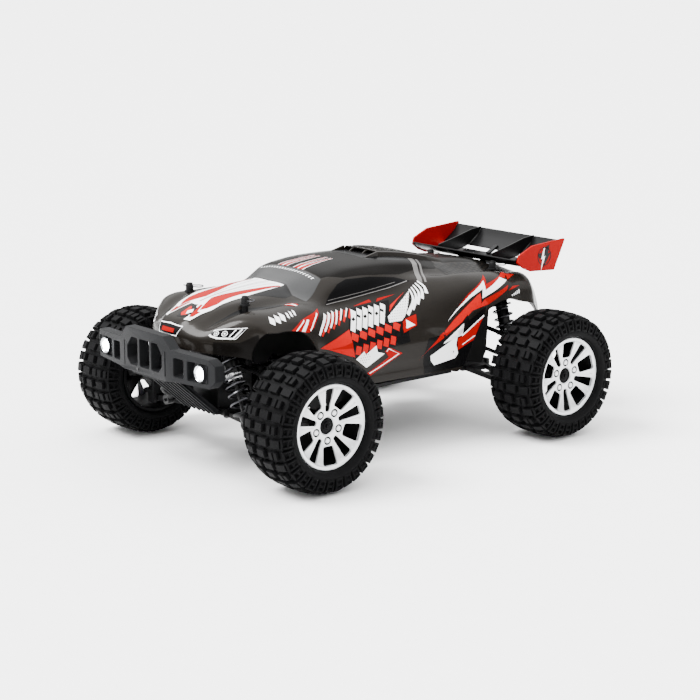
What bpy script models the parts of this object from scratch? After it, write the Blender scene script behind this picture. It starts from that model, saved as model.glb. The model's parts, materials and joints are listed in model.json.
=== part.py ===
"""A 1:10 four-wheel-drive remote control truggy, modelled piece by piece.

The car stands on the ground with its nose towards -Y and its left side towards +X.
Corner pieces are shaped once in a corner's own frame and placed at all four corners: u runs
outwards from the car's middle plane, v runs from the axle towards the car's nearer end, and z is up.
"""
import math

import bmesh
import bpy
from mathutils import Matrix, Vector

MM = 0.001
FIT_GAP = 0.3 * MM
SHARP_ANGLE = math.radians(35)

# Overall layout
WHEELBASE = 289.2 * MM
WHEELBASE_CENTRE_Y = 4.5 * MM
TRACK_OUTER = 323.0 * MM
TYRE_RADIUS = 60.0 * MM
TYRE_WIDTH = 58.0 * MM
WHEEL_U = (TRACK_OUTER - TYRE_WIDTH) / 2
AXLE_Z = TYRE_RADIUS

# Suspension: arm, upper link, drive shaft and tie rod are parallel and equally long
LINK_RUN = 76.0 * MM
LINK_DROP = 10.0 * MM
ARM_INNER = (24.0 * MM, 48.0 * MM)
UPPER_INNER = (26.0 * MM, 92.0 * MM)
SHAFT_INNER = (31.0 * MM, 70.0 * MM)
ARM_OUTER = (ARM_INNER[0] + LINK_RUN, ARM_INNER[1] - LINK_DROP)
UPPER_OUTER = (UPPER_INNER[0] + LINK_RUN, UPPER_INNER[1] - LINK_DROP)
SHAFT_OUTER = (SHAFT_INNER[0] + LINK_RUN, SHAFT_INNER[1] - LINK_DROP)
PIN_RADIUS = 1.5 * MM
PIN_BORE = 1.65 * MM
PIN_SIDES = 8
ROUND_SIDES = 12

# Shock absorbers
SHOCK_V = 18.4 * MM
SHOCK_TOP = {"front": (25.0 * MM, 126.0 * MM), "rear": (40.0 * MM, 126.0 * MM)}
SHOCK_FOOT = {"front": (61.0 * MM, 45.5 * MM), "rear": (64.0 * MM, 45.1 * MM)}
SPRING_START = 18.0 * MM
SPRING_RADIUS = 9.0 * MM
SPRING_WIRE = 0.9 * MM
SPRING_TURNS = 5.0
SPRING_SEAT_FROM_FOOT = 12.0 * MM

# Steering
KINGPIN_U = SHAFT_OUTER[0]
STEERING_ARM = 24.0 * MM
TIE_INNER = (24.0 * MM, 84.0 * MM)
TIE_OUTER = (TIE_INNER[0] + LINK_RUN, TIE_INNER[1] - LINK_DROP)

# Drive train
CENTRE_SHAFT_Z = SHAFT_INNER[1]
GEAR_MODULE = 1.0 * MM
SPUR_TEETH = 36
PINION_TEETH = 12
SPUR_Y = 75.0 * MM
GEARBOX_HALF = 19.0 * MM
GEARBOX_BOTTOM = 47.3 * MM
GEARBOX_TOP = 100.0 * MM

# Chassis
CHASSIS_HALF_LENGTH = 112.0 * MM
SIDE_GUARD_HALF_LENGTH = 62.0 * MM
TOWER_V = (3.0 * MM, 7.0 * MM)
BODY_POST_V = 5.0 * MM
BODY_POST_U = {"front": 42.5 * MM, "rear": 45.0 * MM}
BODY_POST_RADIUS = 3.0 * MM

# Body shell: each station is (y, sweep-back at 90 mm from the middle, points from the middle
# plane outwards and down to the lower edge as (x, z)), in millimetres from the wheelbase centre
SHELL_THICKNESS = 1.5 * MM
SWEEP_AT = 90.0
SHELL_STATIONS = [
    (-203, 60, [(0, 113), (13, 113), (24, 112), (35, 111), (46, 110), (57, 109), (66, 108), (72, 106)]),
    (-204, 60, [(0, 125), (15, 124.5), (25, 123), (36, 122), (47, 121), (58, 120), (67, 118), (73, 114)]),
    (-197, 52, [(0, 135.5), (16, 135), (23, 132), (34, 129), (46, 130.5), (58, 131.5), (69, 130), (76, 124)]),
    (-188, 40, [(0, 140), (19, 139), (26, 137), (36, 133), (48, 136.5), (60, 137), (71, 134), (79, 128)]),
    (-174, 24, [(0, 146), (21, 145), (30, 143.5), (41, 138), (52, 142), (64, 141.5), (75, 136.5), (82, 130)]),
    (-155, 10, [(0, 151), (24, 150.5), (35, 149), (45, 142), (56, 145.5), (68, 143.5), (78.5, 137), (84.5, 130)]),
    (-135, 4, [(0, 155.5), (26, 155.3), (37, 153.5), (47, 144.5), (57, 147), (70, 144), (80, 136.5), (85, 129.5)]),
    (-115, 1, [(0, 159), (26, 159), (41, 158.5), (50, 148), (58, 148.5), (70, 144), (80, 134), (85, 124)]),
    (-104, 0, [(0, 160), (22, 160), (44, 157.5), (53, 148.5), (60, 148), (71, 142.5), (80.5, 129), (85, 112)]),
    (-92, 0, [(0, 163), (26, 162.3), (47, 156.5), (56, 149), (62, 146), (72, 139), (81, 121), (85, 92)]),
    (-80, 0, [(0, 165.5), (28, 164.3), (46, 159.5), (56, 150.5), (62, 143), (72, 135), (82, 115), (86, 70)]),
    (-66, 0, [(0, 168), (28, 166.3), (46, 162), (55, 154.5), (61, 142), (72, 131), (83, 112), (87, 69.5)]),
    (-45, 0, [(0, 171.5), (27, 170), (45, 166.5), (54, 159), (61, 143.5), (72, 131), (83, 111), (87, 69)]),
    (-10, 0, [(0, 173.5), (27, 172.3), (45, 168.5), (54, 161), (61, 147.5), (72, 132), (83, 110), (87, 68.5)]),
    (20, 0, [(0, 176.5), (24, 175.5), (45, 167), (53, 158.5), (61, 151.5), (73, 137), (84, 112), (87.5, 68)]),
    (50, 0, [(0, 172.5), (24, 171.5), (44, 163.5), (53, 155), (62, 152.5), (75, 141), (85, 114), (88, 68)]),
    (70, 0, [(0, 168), (25, 167), (42, 158), (52, 151.5), (64, 152.5), (77, 143.5), (86, 118), (88, 68)]),
    (84, 0, [(0, 163.5), (26, 163), (41, 155), (52, 149.5), (65, 153), (78, 145), (86, 126), (88, 92)]),
    (97, 0, [(0, 160), (26, 159.5), (40, 152.5), (52, 148.5), (65, 152.5), (78, 146), (85.5, 132), (88, 113)]),
    (115, 0, [(0, 156.5), (26, 156), (40, 150.5), (52, 147), (64, 151.5), (77, 146), (85, 136), (88, 124)]),
    (135, -2, [(0, 153), (26, 152.5), (40, 148.5), (52, 146), (63, 149.5), (76, 145), (84, 138), (87, 130)]),
    (155, -8, [(0, 149.5), (26, 149), (40, 146), (52, 144.5), (62, 146.5), (74, 142), (82, 136), (85, 130)]),
    (178, -10, [(0, 144.5), (25, 144), (38, 143), (50, 143), (60, 143.5), (71, 139.5), (79, 133), (83, 127)]),
    (194, -16, [(0, 139), (24, 138.5), (36, 138), (47, 137.5), (57, 137), (67, 132), (75, 124), (79, 117)]),
    (204, -20, [(0, 128), (24, 128), (36, 127), (47, 126), (56, 124.5), (65, 120), (72, 113), (75, 108)]),
    (207, -22, [(0, 114), (24, 114), (36, 112), (46, 110), (55, 108), (63, 105), (70, 102), (73, 100)]),
]

# Rear wing, in millimetres from the wheelbase centre
WING_HALF_SPAN = 74.6 * MM
END_PLATE_THICKNESS = 2.6 * MM
WING_PLANE = [(151, 159.5), (157, 155.6), (165, 152.3), (174, 150.8), (183, 151.2), (191, 153.6)]
WING_FLAP = [(196, 156.5), (203, 160.6), (209, 166), (214.5, 173.2)]
WING_SKIN = 2.0
END_PLATE = [(218, 175.5), (203, 145), (170, 147), (160, 151), (152, 157), (154, 164), (172, 172)]
FENCE = [(153.5, 161.4), (160, 155.6), (174, 152.4), (191, 155.2), (197, 158.6), (209.5, 168),
         (213.5, 174.3), (199, 172.6), (178, 167)]
FENCE_X = 38.0 * MM

# Front bumper: columns of (x, bottom, window bottom, window top, top, front face y), in millimetres
BUMPER_COLUMNS = [
    (0.0, 90.0, 96.0, 119.0, 129.0, -227.0),
    (6.0, 90.0, 96.0, 119.0, 129.0, -227.0),
    (9.5, 90.0, 96.0, 119.0, 129.0, -227.0),
    (22.0, 90.0, 98.0, 115.0, 129.0, -227.0),
    (30.0, 90.5, 98.0, 113.0, 128.0, -226.5),
    (40.0, 91.0, 97.0, 111.0, 118.0, -224.5),
    (50.0, 91.0, 96.0, 111.0, 117.5, -222.5),
    (65.0, 91.0, 94.0, 112.0, 117.3, -220.0),
    (85.0, 91.0, 94.0, 112.0, 116.5, -216.0),
    (92.0, 93.5, 97.0, 108.0, 113.5, -212.5),
]
BUMPER_WINDOWS = {0, 2, 5, 7}
BUMPER_DEPTH = 10.0 * MM
LAMP_X = 75.0 * MM
LAMP_Z = 103.0 * MM
LAMP_FRONT_Y = -218.5 * MM


# ---------------------------------------------------------------- mesh helpers

def material(name, colour, roughness, metallic=0.0, coat=0.0):
    """Return a Principled material."""
    result = bpy.data.materials.new(name)
    result.use_nodes = True
    shader = result.node_tree.nodes["Principled BSDF"]
    shader.inputs["Base Color"].default_value = (*colour, 1.0)
    shader.inputs["Roughness"].default_value = roughness
    shader.inputs["Metallic"].default_value = metallic
    shader.inputs["Coat Weight"].default_value = coat
    result.diffuse_color = (*colour, 1.0)
    return result


def mesh_from(points, faces):
    """Return a closed mesh with its faces pointing outwards."""
    mesh = bpy.data.meshes.new("solid")
    mesh.from_pydata([tuple(point) for point in points], [], faces)
    shape = bmesh.new()
    shape.from_mesh(mesh)
    bmesh.ops.recalc_face_normals(shape, faces=shape.faces)
    shape.to_mesh(mesh)
    shape.free()
    return mesh


def on_axis(axis, height, a, b):
    """Return the point at a height along an axis, with its two cross coordinates in X, Y, Z order."""
    if axis == "x":
        return (height, a, b)
    if axis == "y":
        return (a, height, b)
    return (a, b, height)


def prism(axis, low, high, outline):
    """Return a solid that extrudes an outline along an axis."""
    count = len(outline)
    points = [on_axis(axis, level, a, b) for level in (low, high) for a, b in outline]
    faces = [tuple(range(count)), tuple(range(2 * count - 1, count - 1, -1))]
    for i in range(count):
        j = (i + 1) % count
        faces.append((i, j, count + j, count + i))
    return mesh_from(points, faces)


def block(x, y, z):
    """Return a box from its (low, high) pairs."""
    return prism("z", z[0], z[1], [(x[0], y[0]), (x[1], y[0]), (x[1], y[1]), (x[0], y[1])])


def circle(radius, sides, centre=(0.0, 0.0), turn=0.0):
    """Return the corners of a regular polygon."""
    steps = [2 * math.pi * (i + turn) / sides for i in range(sides)]
    return [(centre[0] + radius * math.cos(a), centre[1] + radius * math.sin(a)) for a in steps]


def rod(axis, low, high, centre, radius, sides=PIN_SIDES):
    """Return a cylinder along an axis, centred on its two cross coordinates."""
    return prism(axis, low, high, circle(radius, sides, centre, 0.5))


def turned(profile, sides, start, end, first_turn=0.0):
    """Turn a profile of (distance along the axis, radius) about the line from start to end.

    A profile that begins and ends on the axis is open; any other closes on itself. The first
    corner stands first_turn steps round from the top.
    """
    along = (end - start).normalized()
    across = along.cross(Vector((0, 1, 0)))
    if across.length < 0.1:
        across = along.cross(Vector((1, 0, 0)))
    across.normalize()
    third = along.cross(across)
    open_ended = profile[0][1] == 0.0
    points = []
    rings = []
    for distance, radius in profile:
        if radius == 0.0:
            rings.append([len(points)] * sides)
            points.append(start + along * distance)
            continue
        rings.append([len(points) + i for i in range(sides)])
        for i in range(sides):
            angle = 2 * math.pi * (i + first_turn) / sides
            offset = across * math.cos(angle) + third * math.sin(angle)
            points.append(start + along * distance + offset * radius)
    pairs = list(zip(rings, rings[1:]))
    if not open_ended:
        pairs.append((rings[-1], rings[0]))
    faces = []
    for first, second in pairs:
        for i in range(sides):
            j = (i + 1) % sides
            corners = []
            for corner in (first[i], first[j], second[j], second[i]):
                if corner not in corners:
                    corners.append(corner)
            faces.append(tuple(corners))
    return mesh_from(points, faces)


def strip(centre_line, half):
    """Return the closed outline of a band of constant thickness along a line of 2-D points."""
    upper = []
    lower = []
    for i, point in enumerate(centre_line):
        before = Vector(centre_line[max(i - 1, 0)])
        after = Vector(centre_line[min(i + 1, len(centre_line) - 1)])
        along = (after - before).normalized()
        normal = Vector((-along.y, along.x)) * half
        upper.append(tuple(Vector(point) + normal))
        lower.append(tuple(Vector(point) - normal))
    return upper + lower[::-1]


def scaled(points):
    """Convert a list of millimetre tuples to metres."""
    return [tuple(value * MM for value in point) for point in points]


def boolean(mesh, others, operation):
    """Return a mesh united with or cut by other meshes, one after the other."""
    target = bpy.data.objects.new("target", mesh)
    bpy.context.scene.collection.objects.link(target)
    operands = []
    for other in others:
        operand = bpy.data.objects.new("operand", other)
        bpy.context.scene.collection.objects.link(operand)
        operands.append(operand)
        modifier = target.modifiers.new(operation, "BOOLEAN")
        modifier.operation = operation
        modifier.solver = "EXACT"
        modifier.object = operand
    graph = bpy.context.evaluated_depsgraph_get()
    result = bpy.data.meshes.new_from_object(target.evaluated_get(graph))
    for leftover in [target] + operands:
        bpy.data.objects.remove(leftover)
    return result


def united(*meshes):
    """Return one solid made of overlapping solids."""
    return boolean(meshes[0], meshes[1:], "UNION")


def cut(mesh, *cutters):
    """Return a solid with the cutters' volumes removed."""
    return boolean(mesh, cutters, "DIFFERENCE")


def transformed(mesh, matrix):
    """Return a moved or mirrored copy of a mesh, with its faces still pointing outwards."""
    result = mesh.copy()
    result.transform(matrix)
    if matrix.determinant() < 0:
        result.flip_normals()
    return result


def add_node(name, mesh, finish, origin=(0.0, 0.0, 0.0)):
    """Add a node whose object origin lies at the given point."""
    mesh.transform(Matrix.Translation(-Vector(origin)))
    mesh.name = name
    mesh.materials.clear()
    mesh.materials.append(finish)
    mesh.shade_smooth()
    mesh.set_sharp_from_angle(angle=SHARP_ANGLE)
    node = bpy.data.objects.new(name, mesh)
    node.location = origin
    bpy.context.scene.collection.objects.link(node)
    return node


# ---------------------------------------------------------------- corners

def corner_frame(side, end):
    """Return the matrix from a corner's own frame to the car's frame."""
    side_sign = 1 if side == "left" else -1
    end_sign = -1 if end == "front" else 1
    place = Matrix.Diagonal((side_sign, end_sign, 1, 1))
    place.translation = (0, WHEELBASE_CENTRE_Y + end_sign * WHEELBASE / 2, 0)
    return place


def corner_names():
    """Yield each corner's end, side and name prefix."""
    for end in ("front", "rear"):
        for side in ("left", "right"):
            yield end, side, f"{end}_{side}"


def lower_arm_mesh(end):
    """Return the wide lower arm with a hinge tube at each end and the pin for the shock's foot."""
    inner_half = 15.0 * MM
    outer_half = 8.0 * MM
    thickness = 4.6 * MM
    points = []
    for u, half in ((ARM_INNER[0] + 1.5 * MM, 14.0 * MM), (ARM_OUTER[0] - 1.5 * MM, 7.4 * MM)):
        middle = ARM_INNER[1] - (u - ARM_INNER[0]) * LINK_DROP / LINK_RUN
        for v, z in ((-half, -1), (half, -1), (half, 1), (-half, 1)):
            points.append((u, v, middle + z * thickness / 2))
    faces = [(0, 1, 2, 3), (7, 6, 5, 4), (0, 4, 5, 1), (1, 5, 6, 2), (2, 6, 7, 3), (3, 7, 4, 0)]
    plate = mesh_from(points, faces)
    inner_tube = rod("y", -inner_half, inner_half, ARM_INNER, 4.2 * MM)
    outer_tube = rod("y", -outer_half, outer_half, ARM_OUTER, 3.8 * MM)
    foot_pin = rod("y", 8.0 * MM, SHOCK_V + 5.2 * MM, SHOCK_FOOT[end], PIN_RADIUS)
    arm = united(plate, inner_tube, outer_tube, foot_pin)
    window = []
    for u, half in ((34.0 * MM, 8.5 * MM), (50.0 * MM, 7.0 * MM)):
        window += [(u, -half), (u, half)]
    window = [window[0], window[2], window[3], window[1]]
    lightening = prism("z", 30 * MM, 60 * MM, window)
    inner_bore = rod("y", -inner_half - MM, inner_half + MM, ARM_INNER, PIN_BORE)
    outer_bore = rod("y", -outer_half - MM, outer_half + MM, ARM_OUTER, PIN_BORE)
    return cut(arm, inner_bore, outer_bore, lightening)


def upper_link_mesh():
    """Return the upper link: a bar with an eyelet at each end."""
    start = Vector((UPPER_INNER[0], 0, UPPER_INNER[1]))
    finish = Vector((UPPER_OUTER[0], 0, UPPER_OUTER[1]))
    length = (finish - start).length
    inset = 3.0 * MM
    profile = [(inset, 0.0), (inset, 2.2 * MM), (length - inset, 2.2 * MM), (length - inset, 0.0)]
    bar = turned(profile, 10, start, finish)
    half = 3.0 * MM
    rings = [rod("y", -half, half, centre, 4.2 * MM) for centre in (UPPER_INNER, UPPER_OUTER)]
    bores = [rod("y", -half - MM, half + MM, centre, PIN_BORE) for centre in (UPPER_INNER, UPPER_OUTER)]
    return cut(united(bar, *rings), *bores)


def hub_lugs():
    """Return the hinge lugs and pins that hold a hub to its lower arm and upper link."""
    parts = []
    for sign in (-1, 1):
        low = sorted((sign * 8.4 * MM, sign * 12.0 * MM))
        parts.append(block((95.5 * MM, 105.0 * MM), low, (34.4 * MM, 45.0 * MM)))
        high = sorted((sign * 3.4 * MM, sign * 6.4 * MM))
        parts.append(block((98.0 * MM, 106.0 * MM), high, (76.0 * MM, 86.2 * MM)))
    parts.append(rod("y", -10.0 * MM, 10.0 * MM, ARM_OUTER, PIN_RADIUS))
    parts.append(rod("y", -5.0 * MM, 5.0 * MM, UPPER_OUTER, PIN_RADIUS))
    return parts


def c_hub_mesh():
    """Return the front C-shaped hub, which carries the steering knuckle between two kingpin lugs."""
    outline = [(-12.0, 42.4), (12.0, 42.4), (12.0, 60.0), (7.0, 63.6), (7.0, 77.2), (-7.0, 77.2), (-7.0, 63.6),
               (-12.0, 60.0)]
    back = prism("x", 94.5 * MM, 98.3 * MM, scaled(outline))
    bottom = block((94.5 * MM, 112.0 * MM), (-12.0 * MM, 12.0 * MM), (42.4 * MM, 46.4 * MM))
    top = block((94.5 * MM, 112.0 * MM), (-7.0 * MM, 7.0 * MM), (73.8 * MM, 77.2 * MM))
    hub = united(back, bottom, top, *hub_lugs())
    shaft_hole = rod("x", 90.0 * MM, 100.0 * MM, (0.0, AXLE_Z), 8.0 * MM, ROUND_SIDES)
    kingpin_hole = rod("z", 41.0 * MM, 81.0 * MM, (KINGPIN_U, 0.0), 2.2 * MM)
    return cut(hub, shaft_hole, kingpin_hole)


def axle_bores():
    """Return the cutters for the drive cup and for the stub axle inside a hub."""
    cup = rod("x", 100.0 * MM, 113.4 * MM, (0.0, AXLE_Z), 6.6 * MM, ROUND_SIDES)
    axle = rod("x", 112.0 * MM, 122.0 * MM, (0.0, AXLE_Z), 2.85 * MM)
    return cup, axle


def knuckle_mesh():
    """Return the steering knuckle with its kingpins and steering arm."""
    barrel = rod("x", 103.0 * MM, 120.0 * MM, (0.0, AXLE_Z), 10.0 * MM, ROUND_SIDES)
    column = rod("z", 47.0 * MM, 73.4 * MM, (KINGPIN_U, 0.0), 4.0 * MM)
    kingpins = rod("z", 43.2 * MM, 76.8 * MM, (KINGPIN_U, 0.0), 2.0 * MM)
    outline = [(104.0, -3.0), (110.5, -3.0), (104.0, -27.5), (96.5, -27.5)]
    arm = prism("z", 65.6 * MM, 69.0 * MM, scaled(outline))
    return cut(united(barrel, column, kingpins, arm), *axle_bores())


def hub_carrier_mesh():
    """Return the rear hub carrier, which holds the stub axle and doesn't steer."""
    barrel = rod("x", 101.0 * MM, 120.0 * MM, (0.0, AXLE_Z), 10.0 * MM, ROUND_SIDES)
    bottom = block((95.5 * MM, 108.0 * MM), (-12.0 * MM, 12.0 * MM), (42.4 * MM, 53.0 * MM))
    top = block((98.0 * MM, 106.0 * MM), (-6.4 * MM, 6.4 * MM), (66.5 * MM, 77.2 * MM))
    return cut(united(barrel, bottom, top, *hub_lugs()), *axle_bores())


def drive_shaft_mesh():
    """Return the dogbone shaft between the differential's cup and the wheel's cup."""
    start = Vector((SHAFT_INNER[0], 0, SHAFT_INNER[1]))
    finish = Vector((SHAFT_OUTER[0], 0, SHAFT_OUTER[1]))
    length = (finish - start).length
    ball = 3.4 * MM
    profile = [(-ball, 0.0)]
    profile += [(-ball * math.cos(a), ball * math.sin(a)) for a in (0.7, 1.4)]
    profile += [(ball * 0.8, 2.0 * MM), (length - ball * 0.8, 2.0 * MM)]
    profile += [(length + ball * math.cos(a), ball * math.sin(a)) for a in (1.4, 0.7)]
    profile += [(length + ball, 0.0)]
    return turned(profile, 10, start, finish)


def shock_line(end):
    """Return the shock's top pivot, its direction and its length."""
    top = Vector((SHOCK_TOP[end][0], SHOCK_V, SHOCK_TOP[end][1]))
    foot = Vector((SHOCK_FOOT[end][0], SHOCK_V, SHOCK_FOOT[end][1]))
    return top, (foot - top).normalized(), (foot - top).length


def shock_body_mesh(end):
    """Return the shock's cylinder with its top eyelet, spring collar and knurled end cap."""
    top, along, _ = shock_line(end)
    profile = [(3.0, 0.0), (3.0, 5.0), (10.0, 6.4), (15.5, 6.4), (15.5, 9.8), (17.6, 9.8), (17.6, 6.2),
               (41.0, 6.2), (41.0, 6.9), (47.0, 6.9), (47.0, 0.0)]
    cylinder = turned(scaled(profile), ROUND_SIDES, top, top + along)
    ring = rod("y", SHOCK_V - 3.5 * MM, SHOCK_V + 3.5 * MM, SHOCK_TOP[end], 4.5 * MM)
    pin_bore = rod("y", SHOCK_V - 5 * MM, SHOCK_V + 5 * MM, SHOCK_TOP[end], PIN_BORE)
    rod_bore = turned(scaled([(28.0, 0.0), (28.0, 2.0), (49.0, 2.0), (49.0, 0.0)]), PIN_SIDES, top, top + along)
    return cut(united(cylinder, ring), pin_bore, rod_bore)


def shock_rod_mesh(end):
    """Return the shock's steel rod with the spring's lower seat and the loose lower eyelet."""
    top, along, length = shock_line(end)
    seat = length / MM - SPRING_SEAT_FROM_FOOT / MM
    profile = [(38.0, 0.0), (38.0, 1.6), (seat, 1.6), (seat, 9.6), (seat + 2.2, 9.6), (seat + 4.0, 4.0),
               (length / MM - 2.8, 4.0), (length / MM - 2.8, 0.0)]
    shaft = turned(scaled(profile), ROUND_SIDES, top, top + along)
    ring = rod("y", SHOCK_V - 3.5 * MM, SHOCK_V + 3.5 * MM, SHOCK_FOOT[end], 4.6 * MM)
    bore = rod("y", SHOCK_V - 5 * MM, SHOCK_V + 5 * MM, SHOCK_FOOT[end], 2.6 * MM)
    return cut(united(shaft, ring), bore)


def spring_mesh(end):
    """Return the coil spring between the collar and the lower seat."""
    top, along, length = shock_line(end)
    start = SPRING_START + SPRING_WIRE
    run = length - SPRING_SEAT_FROM_FOOT - FIT_GAP - SPRING_WIRE - start
    side = Vector((0, 1, 0))
    third = along.cross(side)
    steps = int(SPRING_TURNS * 8)
    wire_sides = 4
    points = []
    for i in range(steps + 1):
        angle = 2 * math.pi * SPRING_TURNS * i / steps
        outward = side * math.cos(angle) + third * math.sin(angle)
        middle = top + along * (start + run * i / steps) + outward * SPRING_RADIUS
        for j in range(wire_sides):
            turn = 2 * math.pi * j / wire_sides
            points.append(middle + (outward * math.cos(turn) + along * math.sin(turn)) * SPRING_WIRE)
    faces = [tuple(range(wire_sides)), tuple(range(len(points) - 1, len(points) - wire_sides - 1, -1))]
    for i in range(steps):
        for j in range(wire_sides):
            k = (j + 1) % wire_sides
            low = i * wire_sides
            high = low + wire_sides
            faces.append((low + j, low + k, high + k, high + j))
    return mesh_from(points, faces)


def rim_mesh():
    """Return the spoked rim in one piece with its drive hex, stub axle, wheel nut and drive cup."""
    profile = [(111.2, 0.0), (111.2, 4.3), (102.8, 4.3), (102.8, 6.0), (113.0, 6.0), (113.0, 2.5), (122.0, 2.5),
               (122.0, 7.0), (145.0, 10.5), (146.5, 33.0), (105.5, 33.0), (105.5, 38.0), (109.0, 36.3),
               (154.8, 36.3), (156.2, 37.4), (156.2, 35.2), (151.0, 33.0), (151.0, 4.4), (158.0, 4.4),
               (158.0, 0.0)]
    wheel = turned(scaled(profile), 16, Vector((0, 0, AXLE_Z)), Vector((1, 0, AXLE_Z)))
    windows = []
    for i in range(5):
        middle = 2 * math.pi * i / 5 - math.pi / 2
        corners = [(16.5, -0.34), (31.0, -0.36), (31.0, 0.36), (16.5, 0.34)]
        outline = [(r * MM * math.cos(middle + a), AXLE_Z + r * MM * math.sin(middle + a))
                   for r, a in corners]
        windows.append(prism("x", 140.0 * MM, 155.0 * MM, outline))
    return cut(wheel, *windows)


def tyre_mesh():
    """Return the hollow tyre, open towards the rim, with a flat of its tread on the ground."""
    sides = 24
    tread = TYRE_RADIUS / MM / math.cos(math.pi / sides)
    outer = [(-22.0, 37.3), (-28.5, 41.0), (-29.0, 50.0), (-22.0, tread)]
    inner = [(18.0, 37.3), (21.0, 54.0)]
    loop = outer + [(-u, r) for u, r in outer[::-1]] + inner + [(-u, r) for u, r in inner[::-1]]
    profile = [(WHEEL_U + u * MM, r * MM) for u, r in loop]
    return turned(profile, sides, Vector((0, 0, AXLE_Z)), Vector((1, 0, AXLE_Z)), 0.5)


def tie_rod_mesh():
    """Return the tie rod with a ball cup at each end."""
    start = Vector((TIE_INNER[0], -STEERING_ARM, TIE_INNER[1]))
    finish = Vector((TIE_OUTER[0], -STEERING_ARM, TIE_OUTER[1]))
    length = (finish - start).length / MM
    profile = [(-2.6, 0.0), (-2.6, 2.2), (-1.4, 3.1), (2.6, 3.1), (4.2, 1.6), (length - 4.2, 1.6),
               (length - 2.6, 3.1), (length + 1.4, 3.1), (length + 2.6, 2.2), (length + 2.6, 0.0)]
    return turned(scaled(profile), 10, start, finish)


def add_corners(finishes):
    """Add every piece that is repeated at the corners, with its origin on its joint."""
    rim = rim_mesh()
    tyre = tyre_mesh()
    upper_link = upper_link_mesh()
    drive_shaft = drive_shaft_mesh()
    knuckle = knuckle_mesh()
    hub = {"front": c_hub_mesh(), "rear": hub_carrier_mesh()}
    hub_name = {"front": "c_hub", "rear": "hub_carrier"}
    by_end = {}
    for end in ("front", "rear"):
        by_end[end] = (lower_arm_mesh(end), shock_body_mesh(end), shock_rod_mesh(end), spring_mesh(end))
    for end, side, corner in corner_names():
        frame = corner_frame(side, end)

        def place(name, mesh, finish, u, v, z):
            origin = frame @ Vector((u, v, z))
            add_node(f"{corner}_{name}", transformed(mesh, frame), finishes[finish], origin)

        arm, shock_body, shock_rod, spring = by_end[end]
        place("lower_arm", arm, "black_nylon", ARM_INNER[0], 0, ARM_INNER[1])
        place("upper_link", upper_link, "black_nylon", UPPER_INNER[0], 0, UPPER_INNER[1])
        place(hub_name[end], hub[end], "black_nylon", ARM_OUTER[0], 0, ARM_OUTER[1])
        if end == "front":
            place("steering_knuckle", knuckle, "black_nylon", KINGPIN_U, 0, AXLE_Z)
        place("drive_shaft", drive_shaft, "steel", SHAFT_INNER[0], 0, SHAFT_INNER[1])
        place("shock_body", shock_body, "shock_black", SHOCK_TOP[end][0], SHOCK_V, SHOCK_TOP[end][1])
        place("shock_rod", shock_rod, "steel", SHOCK_TOP[end][0], SHOCK_V, SHOCK_TOP[end][1])
        place("shock_spring", spring, "spring_steel", SHOCK_TOP[end][0], SHOCK_V, SHOCK_TOP[end][1])
        place("rim", rim, "rim_silver", WHEEL_U, 0, AXLE_Z)
        place("tyre", tyre, "tyre_rubber", WHEEL_U, 0, AXLE_Z)


# ---------------------------------------------------------------- chassis and drive train

def shifted_y(mesh):
    """Move a mesh that was built about the wheelbase centre to its place in the car."""
    mesh.transform(Matrix.Translation((0, WHEELBASE_CENTRE_Y, 0)))
    return mesh


def chassis_mesh():
    """Return the tub-shaped chassis plate with its side guards."""
    lower = [(82.0, 63.0), (50.0, 60.0), (44.0, 57.5), (24.0, 47.0)]
    upper = [(23.0, 50.3), (43.0, 60.8), (50.0, 63.2), (82.0, 66.0)]
    below = scaled(lower)
    above = scaled(upper)
    outline = below + [(-x, z) for x, z in below[::-1]] + [(-x, z) for x, z in above[::-1]] + above
    tub = prism("y", -CHASSIS_HALF_LENGTH, CHASSIS_HALF_LENGTH, outline)
    notches = []
    for side in (-1, 1):
        for end in (-1, 1):
            x = sorted((side * 52.0 * MM, side * 90.0 * MM))
            y = sorted((end * SIDE_GUARD_HALF_LENGTH, end * (CHASSIS_HALF_LENGTH + 5 * MM)))
            notches.append(block(x, y, (40.0 * MM, 80.0 * MM)))
    return cut(tub, *notches)


def gearbox_mesh():
    """Return a gearbox in a corner's frame, with its hinge pins, link lugs, foot and output cups."""
    half = GEARBOX_HALF
    lid = 7.0 * MM
    outline = [(-half, GEARBOX_BOTTOM), (half, GEARBOX_BOTTOM), (half, GEARBOX_TOP - lid),
               (half - lid, GEARBOX_TOP), (lid - half, GEARBOX_TOP), (-half, GEARBOX_TOP - lid)]
    parts = [prism("y", -half, half, outline)]
    for sign in (-1, 1):
        v = sorted((sign * 15.4 * MM, sign * half))
        parts.append(block((-28.6 * MM, 28.6 * MM), v, (GEARBOX_BOTTOM, 53.0 * MM)))
        v = sorted((sign * 3.4 * MM, sign * 6.4 * MM))
        parts.append(block((-30.6 * MM, 30.6 * MM), v, (87.4 * MM, 96.6 * MM)))
        parts.append(rod("y", -17.0 * MM, 17.0 * MM, (sign * ARM_INNER[0], ARM_INNER[1]), PIN_RADIUS))
        parts.append(rod("y", -5.0 * MM, 5.0 * MM, (sign * UPPER_INNER[0], UPPER_INNER[1]), PIN_RADIUS))
    cup_end = SHAFT_INNER[0] + 4.0 * MM
    parts.append(rod("x", -cup_end, cup_end, (0.0, SHAFT_INNER[1]), 6.5 * MM, ROUND_SIDES))
    parts.append(block((-15.0 * MM, 15.0 * MM), (-39.0 * MM, -half + MM), (50.7 * MM, 54.0 * MM)))
    cutters = []
    for sign in (-1, 1):
        u = sorted((sign * (SHAFT_INNER[0] - 5.0 * MM), sign * (cup_end + MM)))
        cutters.append(rod("x", u[0], u[1], (0.0, SHAFT_INNER[1]), 4.6 * MM, ROUND_SIDES))
    return cut(united(*parts), *cutters)


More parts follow.
